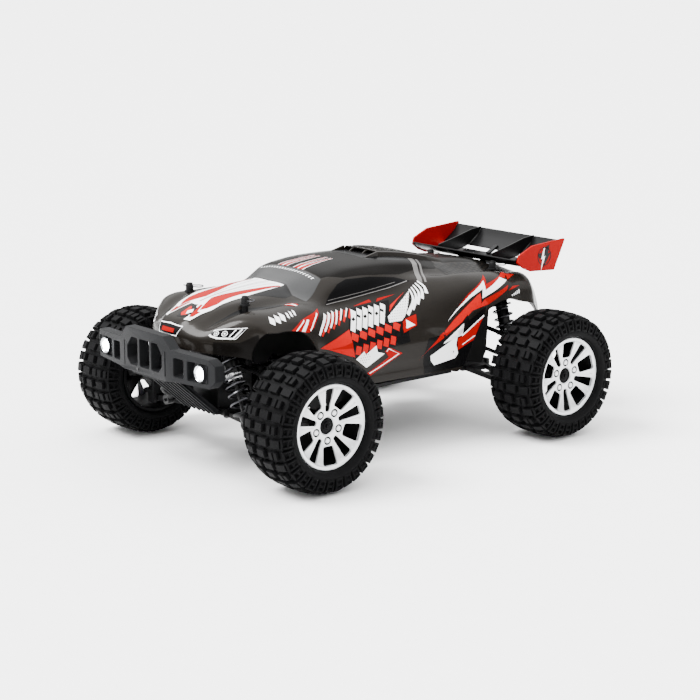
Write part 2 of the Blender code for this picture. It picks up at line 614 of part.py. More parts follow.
def shock_tower_mesh(end):
    """Return a shock tower plate in a corner's frame, with its shock pins and body posts."""
    top_u = SHOCK_TOP[end][0] / MM
    post_u = BODY_POST_U[end] / MM
    half = [(15.0, 100.5), (18.0, 112.0), (post_u - 6.0, 117.0), (post_u + 4.5, 120.0), (post_u + 4.5, 132.0),
            (top_u - 8.0, 134.0), (top_u - 14.0, 124.0)]
    half = scaled(half)
    outline = half + [(-u, z) for u, z in half[::-1]]
    parts = [prism("y", TOWER_V[0], TOWER_V[1], outline)]
    post_top = {"front": 156.5 * MM, "rear": 155.5 * MM}[end]
    for sign in (-1, 1):
        pin = (sign * SHOCK_TOP[end][0], SHOCK_TOP[end][1])
        parts.append(rod("y", TOWER_V[0] + MM, SHOCK_V + 5.0 * MM, pin, PIN_RADIUS))
        post = (sign * BODY_POST_U[end], BODY_POST_V)
        parts.append(rod("z", 121.0 * MM, post_top, post, BODY_POST_RADIUS))
    return united(*parts)


def gear_outline(teeth, module, phase):
    """Return a spur gear's outline with straight-sided teeth; phase is in tooth pitches."""
    pitch_radius = teeth * module / 2
    tip = pitch_radius + 0.8 * module
    root = pitch_radius - 1.15 * module
    pitch = 2 * math.pi / teeth
    points = []
    for i in range(teeth):
        for offset, radius in ((-0.30, root), (-0.13, tip), (0.13, tip), (0.30, root)):
            angle = (i + offset + phase) * pitch
            points.append((radius * math.cos(angle), radius * math.sin(angle)))
    return points


def spur_gear_mesh():
    """Return the spur gear on the long shaft that drives both gearboxes."""
    outline = gear_outline(SPUR_TEETH, GEAR_MODULE, 0.5)
    outline = [(x, z + CENTRE_SHAFT_Z) for x, z in outline]
    gear = prism("y", SPUR_Y - 3.0 * MM, SPUR_Y + 3.0 * MM, outline)
    reach = WHEELBASE / 2 - GEARBOX_HALF - 2 * FIT_GAP
    hub = rod("y", SPUR_Y - 6.0 * MM, SPUR_Y + 6.0 * MM, (0.0, CENTRE_SHAFT_Z), 6.0 * MM)
    shaft = rod("y", -reach, reach, (0.0, CENTRE_SHAFT_Z), 2.5 * MM)
    return united(gear, hub, shaft)


def motor_x():
    """Return the motor shaft's distance to the right of the centre shaft."""
    return -(SPUR_TEETH + PINION_TEETH) * GEAR_MODULE / 2


def pinion_mesh():
    """Return the motor pinion, in mesh with the spur gear."""
    outline = gear_outline(PINION_TEETH, GEAR_MODULE, 0.0)
    outline = [(x + motor_x(), z + CENTRE_SHAFT_Z) for x, z in outline]
    gear = prism("y", SPUR_Y - 4.0 * MM, SPUR_Y + 4.0 * MM, outline)
    bore = rod("y", SPUR_Y - 6.0 * MM, SPUR_Y + 6.0 * MM, (motor_x(), CENTRE_SHAFT_Z), 1.7 * MM)
    return cut(gear, bore)


def motor_mesh():
    """Return the electric motor with its shaft, its end bell and its mounting plate."""
    start = Vector((motor_x(), 0, CENTRE_SHAFT_Z))
    profile = [(20.0, 0.0), (20.0, 4.0), (23.0, 4.0), (23.0, 12.5), (25.0, 13.9), (66.0, 13.9), (67.0, 13.0),
               (67.0, 5.0), (69.5, 5.0), (69.5, 1.5), (80.0, 1.5), (80.0, 0.0)]
    can = turned(scaled(profile), 16, start, start + Vector((0, 1, 0)))
    plate_x = (motor_x() - 15.5 * MM, motor_x() + 15.5 * MM)
    plate = block(plate_x, (62.0 * MM, 65.0 * MM), (59.6 * MM, 87.0 * MM))
    return united(can, plate)


def battery_mesh():
    """Return the battery pack with rounded long edges."""
    outline = scaled([(8, 65), (11, 62), (39, 62), (42, 65), (42, 83), (39, 86), (11, 86), (8, 83)])
    pack = prism("y", -62.0 * MM, 50.0 * MM, outline)
    lead = rod("y", 49.0 * MM, 56.0 * MM, (25.0 * MM, 78.0 * MM), 3.0 * MM)
    return united(pack, lead)


def speed_controller_mesh():
    """Return the receiver and speed controller box with its heat sink fins."""
    base = block((-42.0 * MM, -8.0 * MM), (-78.0 * MM, -16.0 * MM), (62.0 * MM, 80.0 * MM))
    fins = []
    for i in range(5):
        x = (-38.0 + 6.0 * i) * MM
        fins.append(block((x, x + 2.5 * MM), (-72.0 * MM, -46.0 * MM), (79.0 * MM, 87.0 * MM)))
    return united(base, *fins)


def steering_servo_mesh():
    """Return the steering servo with its mounting ears and output boss."""
    case = block((8.0 * MM, 28.0 * MM), (-110.0 * MM, -72.0 * MM), (54.0 * MM, 84.0 * MM))
    ears = block((8.0 * MM, 28.0 * MM), (-116.0 * MM, -66.0 * MM), (72.0 * MM, 74.6 * MM))
    boss = rod("z", 83.0 * MM, 89.0 * MM, (18.0 * MM, -100.0 * MM), 5.0 * MM)
    return united(case, ears, boss)


def steering_link_mesh():
    """Return the bar that slides sideways and pushes both tie rods."""
    y = -WHEELBASE / 2 + STEERING_ARM
    z = TIE_INNER[1]
    bar = block((-18.0 * MM, 18.0 * MM), (y - 2.5 * MM, y + 2.5 * MM), (z - 2.0 * MM, z + 2.0 * MM))
    parts = []
    for sign in (-1, 1):
        x = sorted((sign * 17.0 * MM, sign * 20.6 * MM))
        parts.append(rod("x", x[0], x[1], (y, z), 3.4 * MM))
    return united(bar, *parts)


# ---------------------------------------------------------------- bumper, shell and wing

def bumper_mesh():
    """Return the bumper, a deep bar with windows, in front of the nose."""
    columns = [(-x, *rest) for x, *rest in BUMPER_COLUMNS[:0:-1]] + BUMPER_COLUMNS
    points = []
    for x, *heights, front in columns:
        for z in heights:
            points.append((x * MM, front * MM, z * MM))
            points.append((x * MM, front * MM + BUMPER_DEPTH, z * MM))
    middle = len(BUMPER_COLUMNS) - 1
    solid = {}
    for c in range(len(columns) - 1):
        half_index = c - middle if c >= middle else middle - 1 - c
        for r in range(3):
            solid[c, r] = not (r == 1 and half_index in BUMPER_WINDOWS)
    faces = []
    for (c, r), filled in solid.items():
        if not filled:
            continue
        corner = [8 * (c + dc) + 2 * (r + dr) for dc, dr in ((0, 0), (1, 0), (1, 1), (0, 1))]
        faces.append(tuple(corner))
        faces.append(tuple(index + 1 for index in corner[::-1]))
        neighbours = ((c, r - 1), (c + 1, r), (c, r + 1), (c - 1, r))
        for k, neighbour in enumerate(neighbours):
            if not solid.get(neighbour, False):
                first, second = corner[k], corner[(k + 1) % 4]
                faces.append((first, second, second + 1, first + 1))
    frame = mesh_from(points, faces)
    end_y = -WHEELBASE / 2 - GEARBOX_HALF - FIT_GAP
    brace = block((-12.0 * MM, 12.0 * MM), (-219.0 * MM, end_y), (91.5 * MM, 95.5 * MM))
    return united(frame, brace)


def lamp_mesh(side):
    """Return one lamp: a square housing with a domed round lens."""
    x = side * LAMP_X
    housing = block((x - 9.4 * MM, x + 9.4 * MM), (LAMP_FRONT_Y, LAMP_FRONT_Y + 9.0 * MM),
                    (94.6 * MM, 111.4 * MM))
    start = Vector((x, LAMP_FRONT_Y + 2.0 * MM, LAMP_Z))
    dome = [(0.0, 0.0), (0.0, 7.4), (2.6, 7.4), (4.0, 5.4), (4.8, 2.8), (5.0, 0.0)]
    lens = turned(scaled(dome), 10, start, start - Vector((0, 1, 0)))
    return united(housing, lens)


def skid_plate_mesh():
    """Return the ribbed skid plate that slopes up from the gearbox to the bumper."""
    low_y = -WHEELBASE / 2 - GEARBOX_HALF - 2 * FIT_GAP
    line = [(low_y, 50.0 * MM), (low_y - 6.0 * MM, 50.0 * MM), (-213.0 * MM, 88.0 * MM),
            (-224.0 * MM, 88.0 * MM)]
    outline = strip(line, 1.25 * MM)
    plate = prism("x", -26.0 * MM, 26.0 * MM, outline)
    ribs = []
    rib_line = [(low_y - 8.0 * MM, 48.6 * MM), (-212.0 * MM, 85.5 * MM)]
    for i in range(5):
        x = (i - 2) * 10.5 * MM
        ribs.append(prism("x", x - 1.2 * MM, x + 1.2 * MM, strip(rib_line, 1.6 * MM)))
    return united(plate, *ribs)


def shell_point(station, column, side):
    """Return a point of the shell's outer surface."""
    y, sweep, points = station
    x, z = points[column]
    return (side * x * MM, (y + sweep * (x / SWEEP_AT) ** 2) * MM, z * MM)


def shell_mesh():
    """Return the thin body shell with its post holes."""
    columns = len(SHELL_STATIONS[0][2])
    order = [(column, -1) for column in range(columns - 1, 0, -1)]
    order += [(column, 1) for column in range(columns)]
    outer = [[Vector(shell_point(station, column, side)) for column, side in order]
             for station in SHELL_STATIONS]
    rows = len(outer)
    width = len(order)
    inner = []
    for i in range(rows):
        inner.append([])
        for j in range(width):
            along = outer[min(i + 1, rows - 1)][j] - outer[max(i - 1, 0)][j]
            across = outer[i][min(j + 1, width - 1)] - outer[i][max(j - 1, 0)]
            inward = along.cross(across).normalized()
            inner[i].append(outer[i][j] + inward * SHELL_THICKNESS)
    points = [point for row in outer for point in row] + [point for row in inner for point in row]
    offset = rows * width
    faces = []
    for i in range(rows - 1):
        for j in range(width - 1):
            a, b = i * width + j, (i + 1) * width + j
            faces.append((a, b, b + 1, a + 1))
            faces.append((a + offset, a + 1 + offset, b + 1 + offset, b + offset))
    border = list(range(width))
    border += [i * width + width - 1 for i in range(1, rows)]
    border += [(rows - 1) * width + j for j in range(width - 2, -1, -1)]
    border += [i * width for i in range(rows - 2, 0, -1)]
    for k, first in enumerate(border):
        second = border[(k + 1) % len(border)]
        faces.append((first, second, second + offset, first + offset))
    shell = mesh_from(points, faces)
    holes = []
    for end, sign in (("front", -1), ("rear", 1)):
        for side in (-1, 1):
            centre = (side * BODY_POST_U[end], sign * (WHEELBASE / 2 + BODY_POST_V))
            holes.append(rod("z", 135.0 * MM, 165.0 * MM, centre, BODY_POST_RADIUS + 0.8 * MM))
    return cut(shell, *holes)


def wing_mesh():
    """Return the two-element wing with its inner fences, centre rib and feet."""
    half = WING_SKIN / 2
    plane = prism("x", -WING_HALF_SPAN, WING_HALF_SPAN, scaled(strip(WING_PLANE, half)))
    flap = prism("x", -WING_HALF_SPAN, WING_HALF_SPAN, scaled(strip(WING_FLAP, half)))
    parts = []
    for sign in (-1, 1):
        x = sign * FENCE_X
        parts.append(prism("x", x - 0.9 * MM, x + 0.9 * MM, scaled(FENCE)))
        foot = scaled([(164.0, 147.9), (178.0, 145.2), (178.0, 150.8), (164.0, 152.4)])
        parts.append(prism("x", sign * 16.0 * MM - 4.0 * MM, sign * 16.0 * MM + 4.0 * MM, foot))
    rib = scaled([(187.0, 152.5), (200.0, 158.8), (198.5, 161.0), (186.0, 154.5)])
    parts.append(prism("x", -2.5 * MM, 2.5 * MM, rib))
    return united(plane, flap, *parts)


def end_plate_mesh(side):
    """Return one of the wing's end plates."""
    near = WING_HALF_SPAN + FIT_GAP
    x = sorted((side * near, side * (near + END_PLATE_THICKNESS)))
    return prism("x", x[0], x[1], scaled(END_PLATE))


# ---------------------------------------------------------------- assembly

def make_finishes():
    """Return the materials by name."""
    return {
        "black_nylon": material("black_nylon", (0.018, 0.018, 0.019), 0.55),
        "shock_black": material("shock_black", (0.012, 0.012, 0.013), 0.3, 0.3),
        "steel": material("steel", (0.62, 0.62, 0.63), 0.25, 1.0),
        "spring_steel": material("spring_steel", (0.05, 0.05, 0.055), 0.35, 0.8),
        "rim_silver": material("rim_silver", (0.78, 0.79, 0.8), 0.32, 0.7),
        "tyre_rubber": material("tyre_rubber", (0.014, 0.014, 0.015), 0.8),
        "bumper_grey": material("bumper_grey", (0.05, 0.052, 0.056), 0.55),
        "lamp_lens": material("lamp_lens", (0.95, 0.97, 1.0), 0.1),
        "motor_silver": material("motor_silver", (0.55, 0.56, 0.58), 0.35, 0.9),
        "gear_nylon": material("gear_nylon", (0.03, 0.03, 0.03), 0.45),
        "brass": material("brass", (0.72, 0.52, 0.22), 0.3, 1.0),
        "battery_wrap": material("battery_wrap", (0.04, 0.09, 0.3), 0.4),
        "electronics_case": material("electronics_case", (0.03, 0.03, 0.035), 0.5),
        "shell_paint": material("shell_paint", (0.06, 0.055, 0.05), 0.25, 0.6, 1.0),
        "wing_black": material("wing_black", (0.015, 0.015, 0.016), 0.35),
        "wing_red": material("wing_red", (0.72, 0.03, 0.015), 0.35),
    }


def add_chassis(finishes):
    """Add the chassis, gearboxes, towers, drive train, electronics and steering."""
    add_node("chassis_plate", shifted_y(chassis_mesh()), finishes["black_nylon"])
    gearbox = gearbox_mesh()
    for end in ("front", "rear"):
        frame = corner_frame("left", end)
        add_node(f"{end}_gearbox", transformed(gearbox, frame), finishes["black_nylon"])
        tower = transformed(shock_tower_mesh(end), frame)
        add_node(f"{end}_shock_tower", tower, finishes["black_nylon"])
    spur_at = (0, WHEELBASE_CENTRE_Y + SPUR_Y, CENTRE_SHAFT_Z)
    add_node("spur_gear", shifted_y(spur_gear_mesh()), finishes["gear_nylon"], spur_at)
    pinion_at = (motor_x(), WHEELBASE_CENTRE_Y + SPUR_Y, CENTRE_SHAFT_Z)
    add_node("motor_pinion", shifted_y(pinion_mesh()), finishes["brass"], pinion_at)
    add_node("motor", shifted_y(motor_mesh()), finishes["motor_silver"])
    add_node("battery_pack", shifted_y(battery_mesh()), finishes["battery_wrap"])
    add_node("speed_controller", shifted_y(speed_controller_mesh()), finishes["electronics_case"])
    add_node("steering_servo", shifted_y(steering_servo_mesh()), finishes["electronics_case"])
    add_node("steering_link", shifted_y(steering_link_mesh()), finishes["black_nylon"])
    tie_rod = tie_rod_mesh()
    for side in ("left", "right"):
        frame = corner_frame(side, "front")
        origin = frame @ Vector((TIE_INNER[0], -STEERING_ARM, TIE_INNER[1]))
        add_node(f"tie_rod_{side}", transformed(tie_rod, frame), finishes["black_nylon"], origin)


def add_bodywork(finishes):
    """Add the bumper, lamps, skid plate, shell and wing."""
    add_node("front_bumper", shifted_y(bumper_mesh()), finishes["bumper_grey"])
    add_node("skid_plate", shifted_y(skid_plate_mesh()), finishes["bumper_grey"])
    add_node("body_shell", shifted_y(shell_mesh()), finishes["shell_paint"])
    add_node("rear_wing", shifted_y(wing_mesh()), finishes["wing_black"])
    for side, sign in (("left", 1), ("right", -1)):
        add_node(f"bumper_lamp_{side}", shifted_y(lamp_mesh(sign)), finishes["lamp_lens"])
        add_node(f"wing_end_plate_{side}", shifted_y(end_plate_mesh(sign)), finishes["wing_red"])


def main():
    for leftover in list(bpy.data.objects):
        bpy.data.objects.remove(leftover)
    finishes = make_finishes()
    add_corners(finishes)
    add_chassis(finishes)
    add_bodywork(finishes)


main()
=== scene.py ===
"""Looks of the remote control truggy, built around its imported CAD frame.

Lengths in this file are millimetres unless a name says otherwise. The y of a body part is measured
from the middle of the wheelbase, with the nose towards -y and the car's left side towards +x.
"""
import json
import math

import bmesh
import bpy
from mathutils import Matrix, Vector
from mathutils.geometry import tessellate_polygon


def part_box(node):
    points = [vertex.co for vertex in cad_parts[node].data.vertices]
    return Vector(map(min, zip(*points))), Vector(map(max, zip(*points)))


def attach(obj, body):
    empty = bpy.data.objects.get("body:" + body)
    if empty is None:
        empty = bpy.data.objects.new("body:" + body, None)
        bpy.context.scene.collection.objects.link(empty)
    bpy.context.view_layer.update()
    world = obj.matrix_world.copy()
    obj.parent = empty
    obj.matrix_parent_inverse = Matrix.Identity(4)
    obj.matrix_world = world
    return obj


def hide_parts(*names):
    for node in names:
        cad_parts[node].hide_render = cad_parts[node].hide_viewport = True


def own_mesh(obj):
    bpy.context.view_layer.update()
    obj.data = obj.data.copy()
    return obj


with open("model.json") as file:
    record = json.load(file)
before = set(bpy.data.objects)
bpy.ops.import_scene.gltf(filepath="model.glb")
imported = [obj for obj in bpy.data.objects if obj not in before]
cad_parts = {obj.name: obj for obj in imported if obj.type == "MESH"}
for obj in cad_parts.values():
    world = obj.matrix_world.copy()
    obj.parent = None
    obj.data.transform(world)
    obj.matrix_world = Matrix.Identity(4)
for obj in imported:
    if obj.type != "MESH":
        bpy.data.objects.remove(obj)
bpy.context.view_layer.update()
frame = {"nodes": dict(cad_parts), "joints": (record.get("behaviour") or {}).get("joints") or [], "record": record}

MM = 0.001
JOINTS = {joint["name"]: joint for joint in frame["joints"]}


def joint_point(name):
    """Return a joint's point in millimetres."""
    return Vector(JOINTS[name]["pos_m"]) / MM


FRONT_WHEEL = joint_point("front_left_wheel_spin")
REAR_WHEEL = joint_point("rear_left_wheel_spin")
CENTRE_Y = (FRONT_WHEEL.y + REAR_WHEEL.y) / 2
HALF_WHEELBASE = (REAR_WHEEL.y - FRONT_WHEEL.y) / 2
TYRE_RADIUS = FRONT_WHEEL.z
CORNERS = [("front", "left"), ("front", "right"), ("rear", "left"), ("rear", "right")]


# ---- shapes

class Shape:
    """Points and faces collected for one piece; each face can have its own material index."""

    def __init__(self):
        self.points = []
        self.faces = []
        self.indices = []

    def add(self, points, faces, index=0):
        """Add faces over new points, with one material index or a list of them."""
        first = len(self.points)
        self.points += [tuple(point) for point in points]
        self.faces += [tuple(first + corner for corner in face) for face in faces]
        self.indices += index if isinstance(index, list) else [index] * len(faces)
        return self

    def mesh(self, name="shape"):
        """Return the mesh, scaled to metres, with its faces pointing outwards."""
        mesh = bpy.data.meshes.new(name)
        mesh.from_pydata([tuple(value * MM for value in point) for point in self.points], [], self.faces)
        mesh.polygons.foreach_set("material_index", self.indices)
        work = bmesh.new()
        work.from_mesh(mesh)
        bmesh.ops.recalc_face_normals(work, faces=work.faces)
        work.to_mesh(mesh)
        work.free()
        return mesh


def on_axis(axis, height, a, b):
    """Return a point from its height along an axis and its two cross coordinates in x, y, z order."""
    if axis == "x":
        return (height, a, b)
    if axis == "y":
        return (a, height, b)
    return (a, b, height)


def add_prism(shape, axis, low, high, outline, index=0):
    """Add a solid that extrudes an outline along an axis."""
    count = len(outline)
    points = [on_axis(axis, level, a, b) for level in (low, high) for a, b in outline]
    faces = [tuple(range(count)), tuple(range(2 * count - 1, count - 1, -1))]
    faces += [(i, (i + 1) % count, count + (i + 1) % count, count + i) for i in range(count)]
    return shape.add(points, faces, index)


def circle(radius, sides, centre=(0.0, 0.0), turn=0.0):
    """Return the corners of a regular polygon."""
    angles = [2 * math.pi * (i + turn) / sides for i in range(sides)]
    return [(centre[0] + radius * math.cos(a), centre[1] + radius * math.sin(a)) for a in angles]


def add_plate(shape, first_x, second_x, outline):
    """Add a plate between two x, from an outline of (y from the middle of the wheelbase, z)."""
    low, high = sorted((first_x, second_x))
    add_prism(shape, "x", low, high, [(y + CENTRE_Y, z) for y, z in outline])


def add_thin_sheet(shape, outer, inner, inner_index=0):
    """Add a closed solid between two grids of points, each a list of rows."""
    rows, width = len(outer), len(outer[0])
    offset = rows * width
    cells = [(i * width + j, (i + 1) * width + j) for i in range(rows - 1) for j in range(width - 1)]
    outer_faces = [(a, a + 1, b + 1, b) for a, b in cells]
    other_faces = [(a + offset, b + offset, b + 1 + offset, a + 1 + offset) for a, b in cells]
    border = list(range(width))
    border += [i * width + width - 1 for i in range(1, rows)]
    border += [(rows - 1) * width + j for j in range(width - 2, -1, -1)]
    border += [i * width for i in range(rows - 2, 0, -1)]
    other_faces += [(a, b, b + offset, a + offset) for a, b in zip(border, border[1:] + border[:1])]
    points = [point for row in outer + inner for point in row]
    shape.add(points, outer_faces + other_faces, [0] * len(outer_faces) + [inner_index] * len(other_faces))


def cross_axes(along):
    """Return two directions square to a direction."""
    across = along.cross(Vector((0, 1, 0)))
    if across.length < 0.1:
        across = along.cross(Vector((1, 0, 0)))
    across.normalize()
    return across, along.cross(across)


def round_offset(axes, angle, radius):
    """Return the step from an axis to the point at an angle and a radius round it."""
    return (axes[0] * math.cos(angle) + axes[1] * math.sin(angle)) * radius


def direction_at(line, i):
    """Return the direction of a line of points at one of them."""
    return (line[min(i + 1, len(line) - 1)] - line[max(i - 1, 0)]).normalized()


def add_turned(shape, profile, sides, start, end, index=0):
    """Add a profile of (distance along the axis, radius) turned about the line from start to end."""
    start = Vector(start)
    along = (Vector(end) - start).normalized()
    axes = cross_axes(along)
    points = []
    rings = []
    for distance, radius in profile:
        if radius == 0:
            rings.append([len(points)] * sides)
            points.append(start + along * distance)
            continue
        rings.append(list(range(len(points), len(points) + sides)))
        for i in range(sides):
            points.append(start + along * distance + round_offset(axes, 2 * math.pi * i / sides, radius))
    pairs = list(zip(rings, rings[1:]))
    if profile[0][1] != 0:
        pairs.append((rings[-1], rings[0]))
    faces = []
    for first, second in pairs:
        for i in range(sides):
            j = (i + 1) % sides
            faces.append(tuple(dict.fromkeys((first[i], first[j], second[j], second[i]))))
    return shape.add(points, faces, index)


def add_x_turned(shape, profile, sides, centre=(0, 0), index=0):
    """Add a profile of (x, radius) turned about the line along x through a (y, z) centre."""
    return add_turned(shape, profile, sides, (0, *centre), (1, *centre), index)


def add_tube(shape, path, radius, sides=8, index=0):
    """Add a round wire along a path of points."""
    path = [Vector(point) for point in path]
    points = []
    normal = direction_at(path, 0).orthogonal()
    for i, point in enumerate(path):
        along = direction_at(path, i)
        normal = (normal - along * normal.dot(along)).normalized()
        axes = (normal, along.cross(normal))
        points += [point + round_offset(axes, 2 * math.pi * j / sides, radius) for j in range(sides)]
    faces = [tuple(range(sides)), tuple(range(len(points) - 1, len(points) - sides - 1, -1))]
    for i in range(len(path) - 1):
        for j in range(sides):
            k = (j + 1) % sides
            faces.append((i * sides + j, i * sides + k, (i + 1) * sides + k, (i + 1) * sides + j))
    return shape.add(points, faces, index)


def rounded(corners, radius, steps=4):
    """Return a polygon's outline with each corner rounded."""
    outline = []
    count = len(corners)
    for i, corner in enumerate(corners):
        here = Vector(corner)
        before = (Vector(corners[i - 1]) - here).normalized()
        after = (Vector(corners[(i + 1) % count]) - here).normalized()
        half = before.angle(after) / 2
        reach = radius / math.tan(half)
        centre = here + (before + after).normalized() * (radius / math.sin(half))
        first = here + before * reach - centre
        last = here + after * reach - centre
        turn = math.atan2(first.x * last.y - first.y * last.x, first.dot(last))
        for step in range(steps + 1):
            angle = turn * step / steps
            cosine, sine = math.cos(angle), math.sin(angle)
            outline.append((centre.x + first.x * cosine - first.y * sine,
                            centre.y + first.x * sine + first.y * cosine))
    return outline


def hermite(first, second, start_slope, end_slope, length, t):
    """Return the point at share t of a smooth stretch between two points."""
    return (first * (2 * t ** 3 - 3 * t ** 2 + 1) + start_slope * (length * (t ** 3 - 2 * t ** 2 + t))
            + second * (3 * t ** 2 - 2 * t ** 3) + end_slope * (length * (t ** 3 - t ** 2)))


def curve_through(points, steps):
    """Return a smooth line through points of any size, with a number of steps between each two."""
    points = [Vector(point) for point in points]
    result = []
    for i in range(len(points) - 1):
        first, second = points[i], points[i + 1]
        start_slope = (second - points[max(i - 1, 0)]) / 2
        end_slope = (points[min(i + 2, len(points) - 1)] - first) / 2
        result += [hermite(first, second, start_slope, end_slope, 1, step / steps) for step in range(steps)]
    return result + [points[-1]]


def height_at(line, y):
    """Return the height at y of a line of (y, height) points."""
    for (y0, z0), (y1, z1) in zip(line, line[1:]):
        if y <= y1:
            return z0 + (z1 - z0) * (y - y0) / (y1 - y0)
    return line[-1][1]


def linked(name, data):
    """Return a new object in the scene that shows a mesh, a light or a camera."""
    obj = bpy.data.objects.new(name, data)
    bpy.context.scene.collection.objects.link(obj)
    return obj


def cut_mesh(mesh, cutters):
    """Return a mesh with other meshes cut out of it."""
    target = linked("target", mesh)
    operands = [linked("operand", cutter) for cutter in cutters]
    for operand in operands:
        modifier = target.modifiers.new("cut", "BOOLEAN")
        modifier.operation = "DIFFERENCE"
        modifier.solver = "EXACT"
        modifier.object = operand
    graph = bpy.context.evaluated_depsgraph_get()
    result = bpy.data.meshes.new_from_object(target.evaluated_get(graph))
    for leftover in [target] + operands:
        bpy.data.objects.remove(leftover)
    return result


def piece(name, mesh, finishes, replaces=(), body="chassis", bevel=0.0, smooth=35, segments=2, at=None):
    """Add a visible piece that rides on a body, and return it."""
    if isinstance(mesh, Shape):
        mesh = mesh.mesh(name)
    mesh.materials.clear()
    for material in finishes if isinstance(finishes, list) else [finishes]:
        mesh.materials.append(material)
    mesh.shade_smooth()
    mesh.set_sharp_from_angle(angle=math.radians(smooth))
    obj = linked(name, mesh)
    if at is not None:
        obj.matrix_world = at
    if bevel:
        modifier = obj.modifiers.new("bevel", "BEVEL")
        modifier.width = bevel * MM
        modifier.segments = segments
        modifier.limit_method = "ANGLE"
        modifier.angle_limit = math.radians(40)
        modifier.harden_normals = True
    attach(obj, body)
    if replaces:
        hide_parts(*replaces)
    return obj


# ---- materials

def add_node(tree, kind, **values):
    """Add a shader node. A value sets the input of its name, and an output socket is linked to it."""
    node = tree.nodes.new("ShaderNode" + kind)
    for name, value in values.items():
        socket = node.inputs[name.replace("_", " ")]
        if isinstance(value, bpy.types.NodeSocket):
            tree.links.new(value, socket)
        else:
            socket.default_value = value
    return node


def finish(name, colour, roughness, metallic=0.0, coat=0.0, vary=0.12, grain=900.0, bump=0.05,
           patches=40.0, emission=0.0, specular=0.5):
    """Return a material whose colour and roughness vary a little and whose surface has a fine grain."""
    result = bpy.data.materials.new(name)
    result.use_nodes = True
    result.diffuse_color = (*colour, 1)
    tree = result.node_tree
    shader = tree.nodes["Principled BSDF"].inputs
    shader["Metallic"].default_value = metallic
    shader["Coat Weight"].default_value = coat
    shader["Coat Roughness"].default_value = 0.04
    shader["Specular IOR Level"].default_value = specular
    place = add_node(tree, "TexCoord").outputs["Object"]
    cloud = add_node(tree, "TexNoise", Vector=place, Scale=patches, Detail=5.0).outputs["Fac"]
    fine = add_node(tree, "TexNoise", Vector=place, Scale=grain, Detail=2.0).outputs["Fac"]
    mixed = add_node(tree, "Mix", Factor=0.4, A=cloud, B=fine).outputs["Result"]
    ramp = add_node(tree, "ValToRGB", Fac=mixed)
    for element, position, share in zip(ramp.color_ramp.elements, (0.3, 0.7), (1 - vary, 1 + vary)):
        element.position = position
        element.color = (*[min(value * share, 1.0) for value in colour], 1)
    tree.links.new(ramp.outputs["Color"], shader["Base Color"])
    rough = add_node(tree, "MapRange", Value=mixed)
    rough.inputs["To Min"].default_value = roughness * 0.85
    rough.inputs["To Max"].default_value = min(roughness * 1.15, 1.0)
    tree.links.new(rough.outputs["Result"], shader["Roughness"])
    if bump:
        relief = add_node(tree, "Bump", Strength=bump, Distance=0.0004, Height=fine)
        tree.links.new(relief.outputs["Normal"], shader["Normal"])
    if emission:
        shader["Emission Color"].default_value = (*colour, 1)
        shader["Emission Strength"].default_value = emission
    return result


BLACK_NYLON = finish("black_nylon", (0.0045, 0.0045, 0.0048), 0.5, bump=0.25, grain=1500, specular=0.1)
SHOCK_BLACK = finish("shock_black", (0.004, 0.004, 0.0043), 0.3, bump=0.05, specular=0.2)
STEEL = finish("steel", (0.5, 0.5, 0.51), 0.22, 1.0, vary=0.05)
SPRING_STEEL = finish("spring_steel", (0.06, 0.06, 0.065), 0.28, 1.0, vary=0.1)
RIM_SILVER = finish("rim_silver", (0.66, 0.67, 0.68), 0.34, 0.6, vary=0.03, bump=0.03)
# A darker silver that paints the shade of the steps along the spokes and round the rivets
RIM_PAINTED_SHADE = finish("rim_painted_shade", (0.16, 0.16, 0.17), 0.4, 0.3, vary=0.05, bump=0.03)
RIM_BLACK = finish("rim_black", (0.002, 0.002, 0.0022), 0.5, bump=0.1, specular=0.06)
RUBBER = finish("tyre_rubber", (0.0027, 0.0027, 0.0029), 0.6, vary=0.25, bump=0.3, grain=1200, patches=90,
                specular=0.04)
BUMPER_GREY = finish("bumper_grey", (0.0068, 0.0071, 0.0077), 0.5, vary=0.1, bump=0.3, grain=1600,
                     specular=0.07)
LED_GLOW = finish("led_glow", (0.93, 0.97, 1.0), 0.2, vary=0.01, bump=0.0, emission=30.0)
REFLECTOR = finish("reflector", (0.8, 0.82, 0.84), 0.15, 0.9, vary=0.04)
MOTOR_SILVER = finish("motor_silver", (0.45, 0.46, 0.48), 0.33, 0.9, vary=0.08)
GEAR_NYLON = finish("gear_nylon", (0.008, 0.008, 0.008), 0.42, specular=0.15)
BRASS = finish("brass", (0.72, 0.5, 0.2), 0.28, 1.0, vary=0.08)
BATTERY_WRAP = finish("battery_wrap", (0.012, 0.03, 0.13), 0.3, coat=0.2)
CASE = finish("electronics_case", (0.008, 0.008, 0.0095), 0.45, bump=0.3, specular=0.15)
PAINT = finish("shell_paint", (0.0085, 0.0071, 0.0058), 0.26, 0.15, coat=0.08, vary=0.1, grain=4000,
               bump=0.02, specular=0.06)
PAINT_DARK = finish("dark_paint", (0.003, 0.0026, 0.0023), 0.22, vary=0.1, bump=0.0, specular=0.03)
SHELL_INSIDE = finish("shell_inside", (0.003, 0.003, 0.003), 0.6, specular=0.06)
PAINT_BLACK = finish("paint_black", (0.002, 0.002, 0.0022), 0.25, bump=0.0, specular=0.08)
WINDOW_BLACK = finish("window_black", (0.0018, 0.0018, 0.002), 0.14, bump=0.0, specular=0.035)
GLASS_GREY = finish("windshield_grey", (0.017, 0.0174, 0.0178), 0.2, 0.1, coat=0.12, vary=0.06, bump=0.0,
                    specular=0.15)
PAINT_WHITE = finish("paint_white", (0.92, 0.93, 0.94), 0.3, vary=0.02, bump=0.0, specular=0.3)
PAINT_RED = finish("paint_red", (0.25, 0.001, 0.0012), 0.3, vary=0.05, bump=0.0, specular=0.03)
PAINT_CORAL = finish("paint_coral", (0.4, 0.004, 0.0035), 0.3, vary=0.05, bump=0.0, specular=0.03)
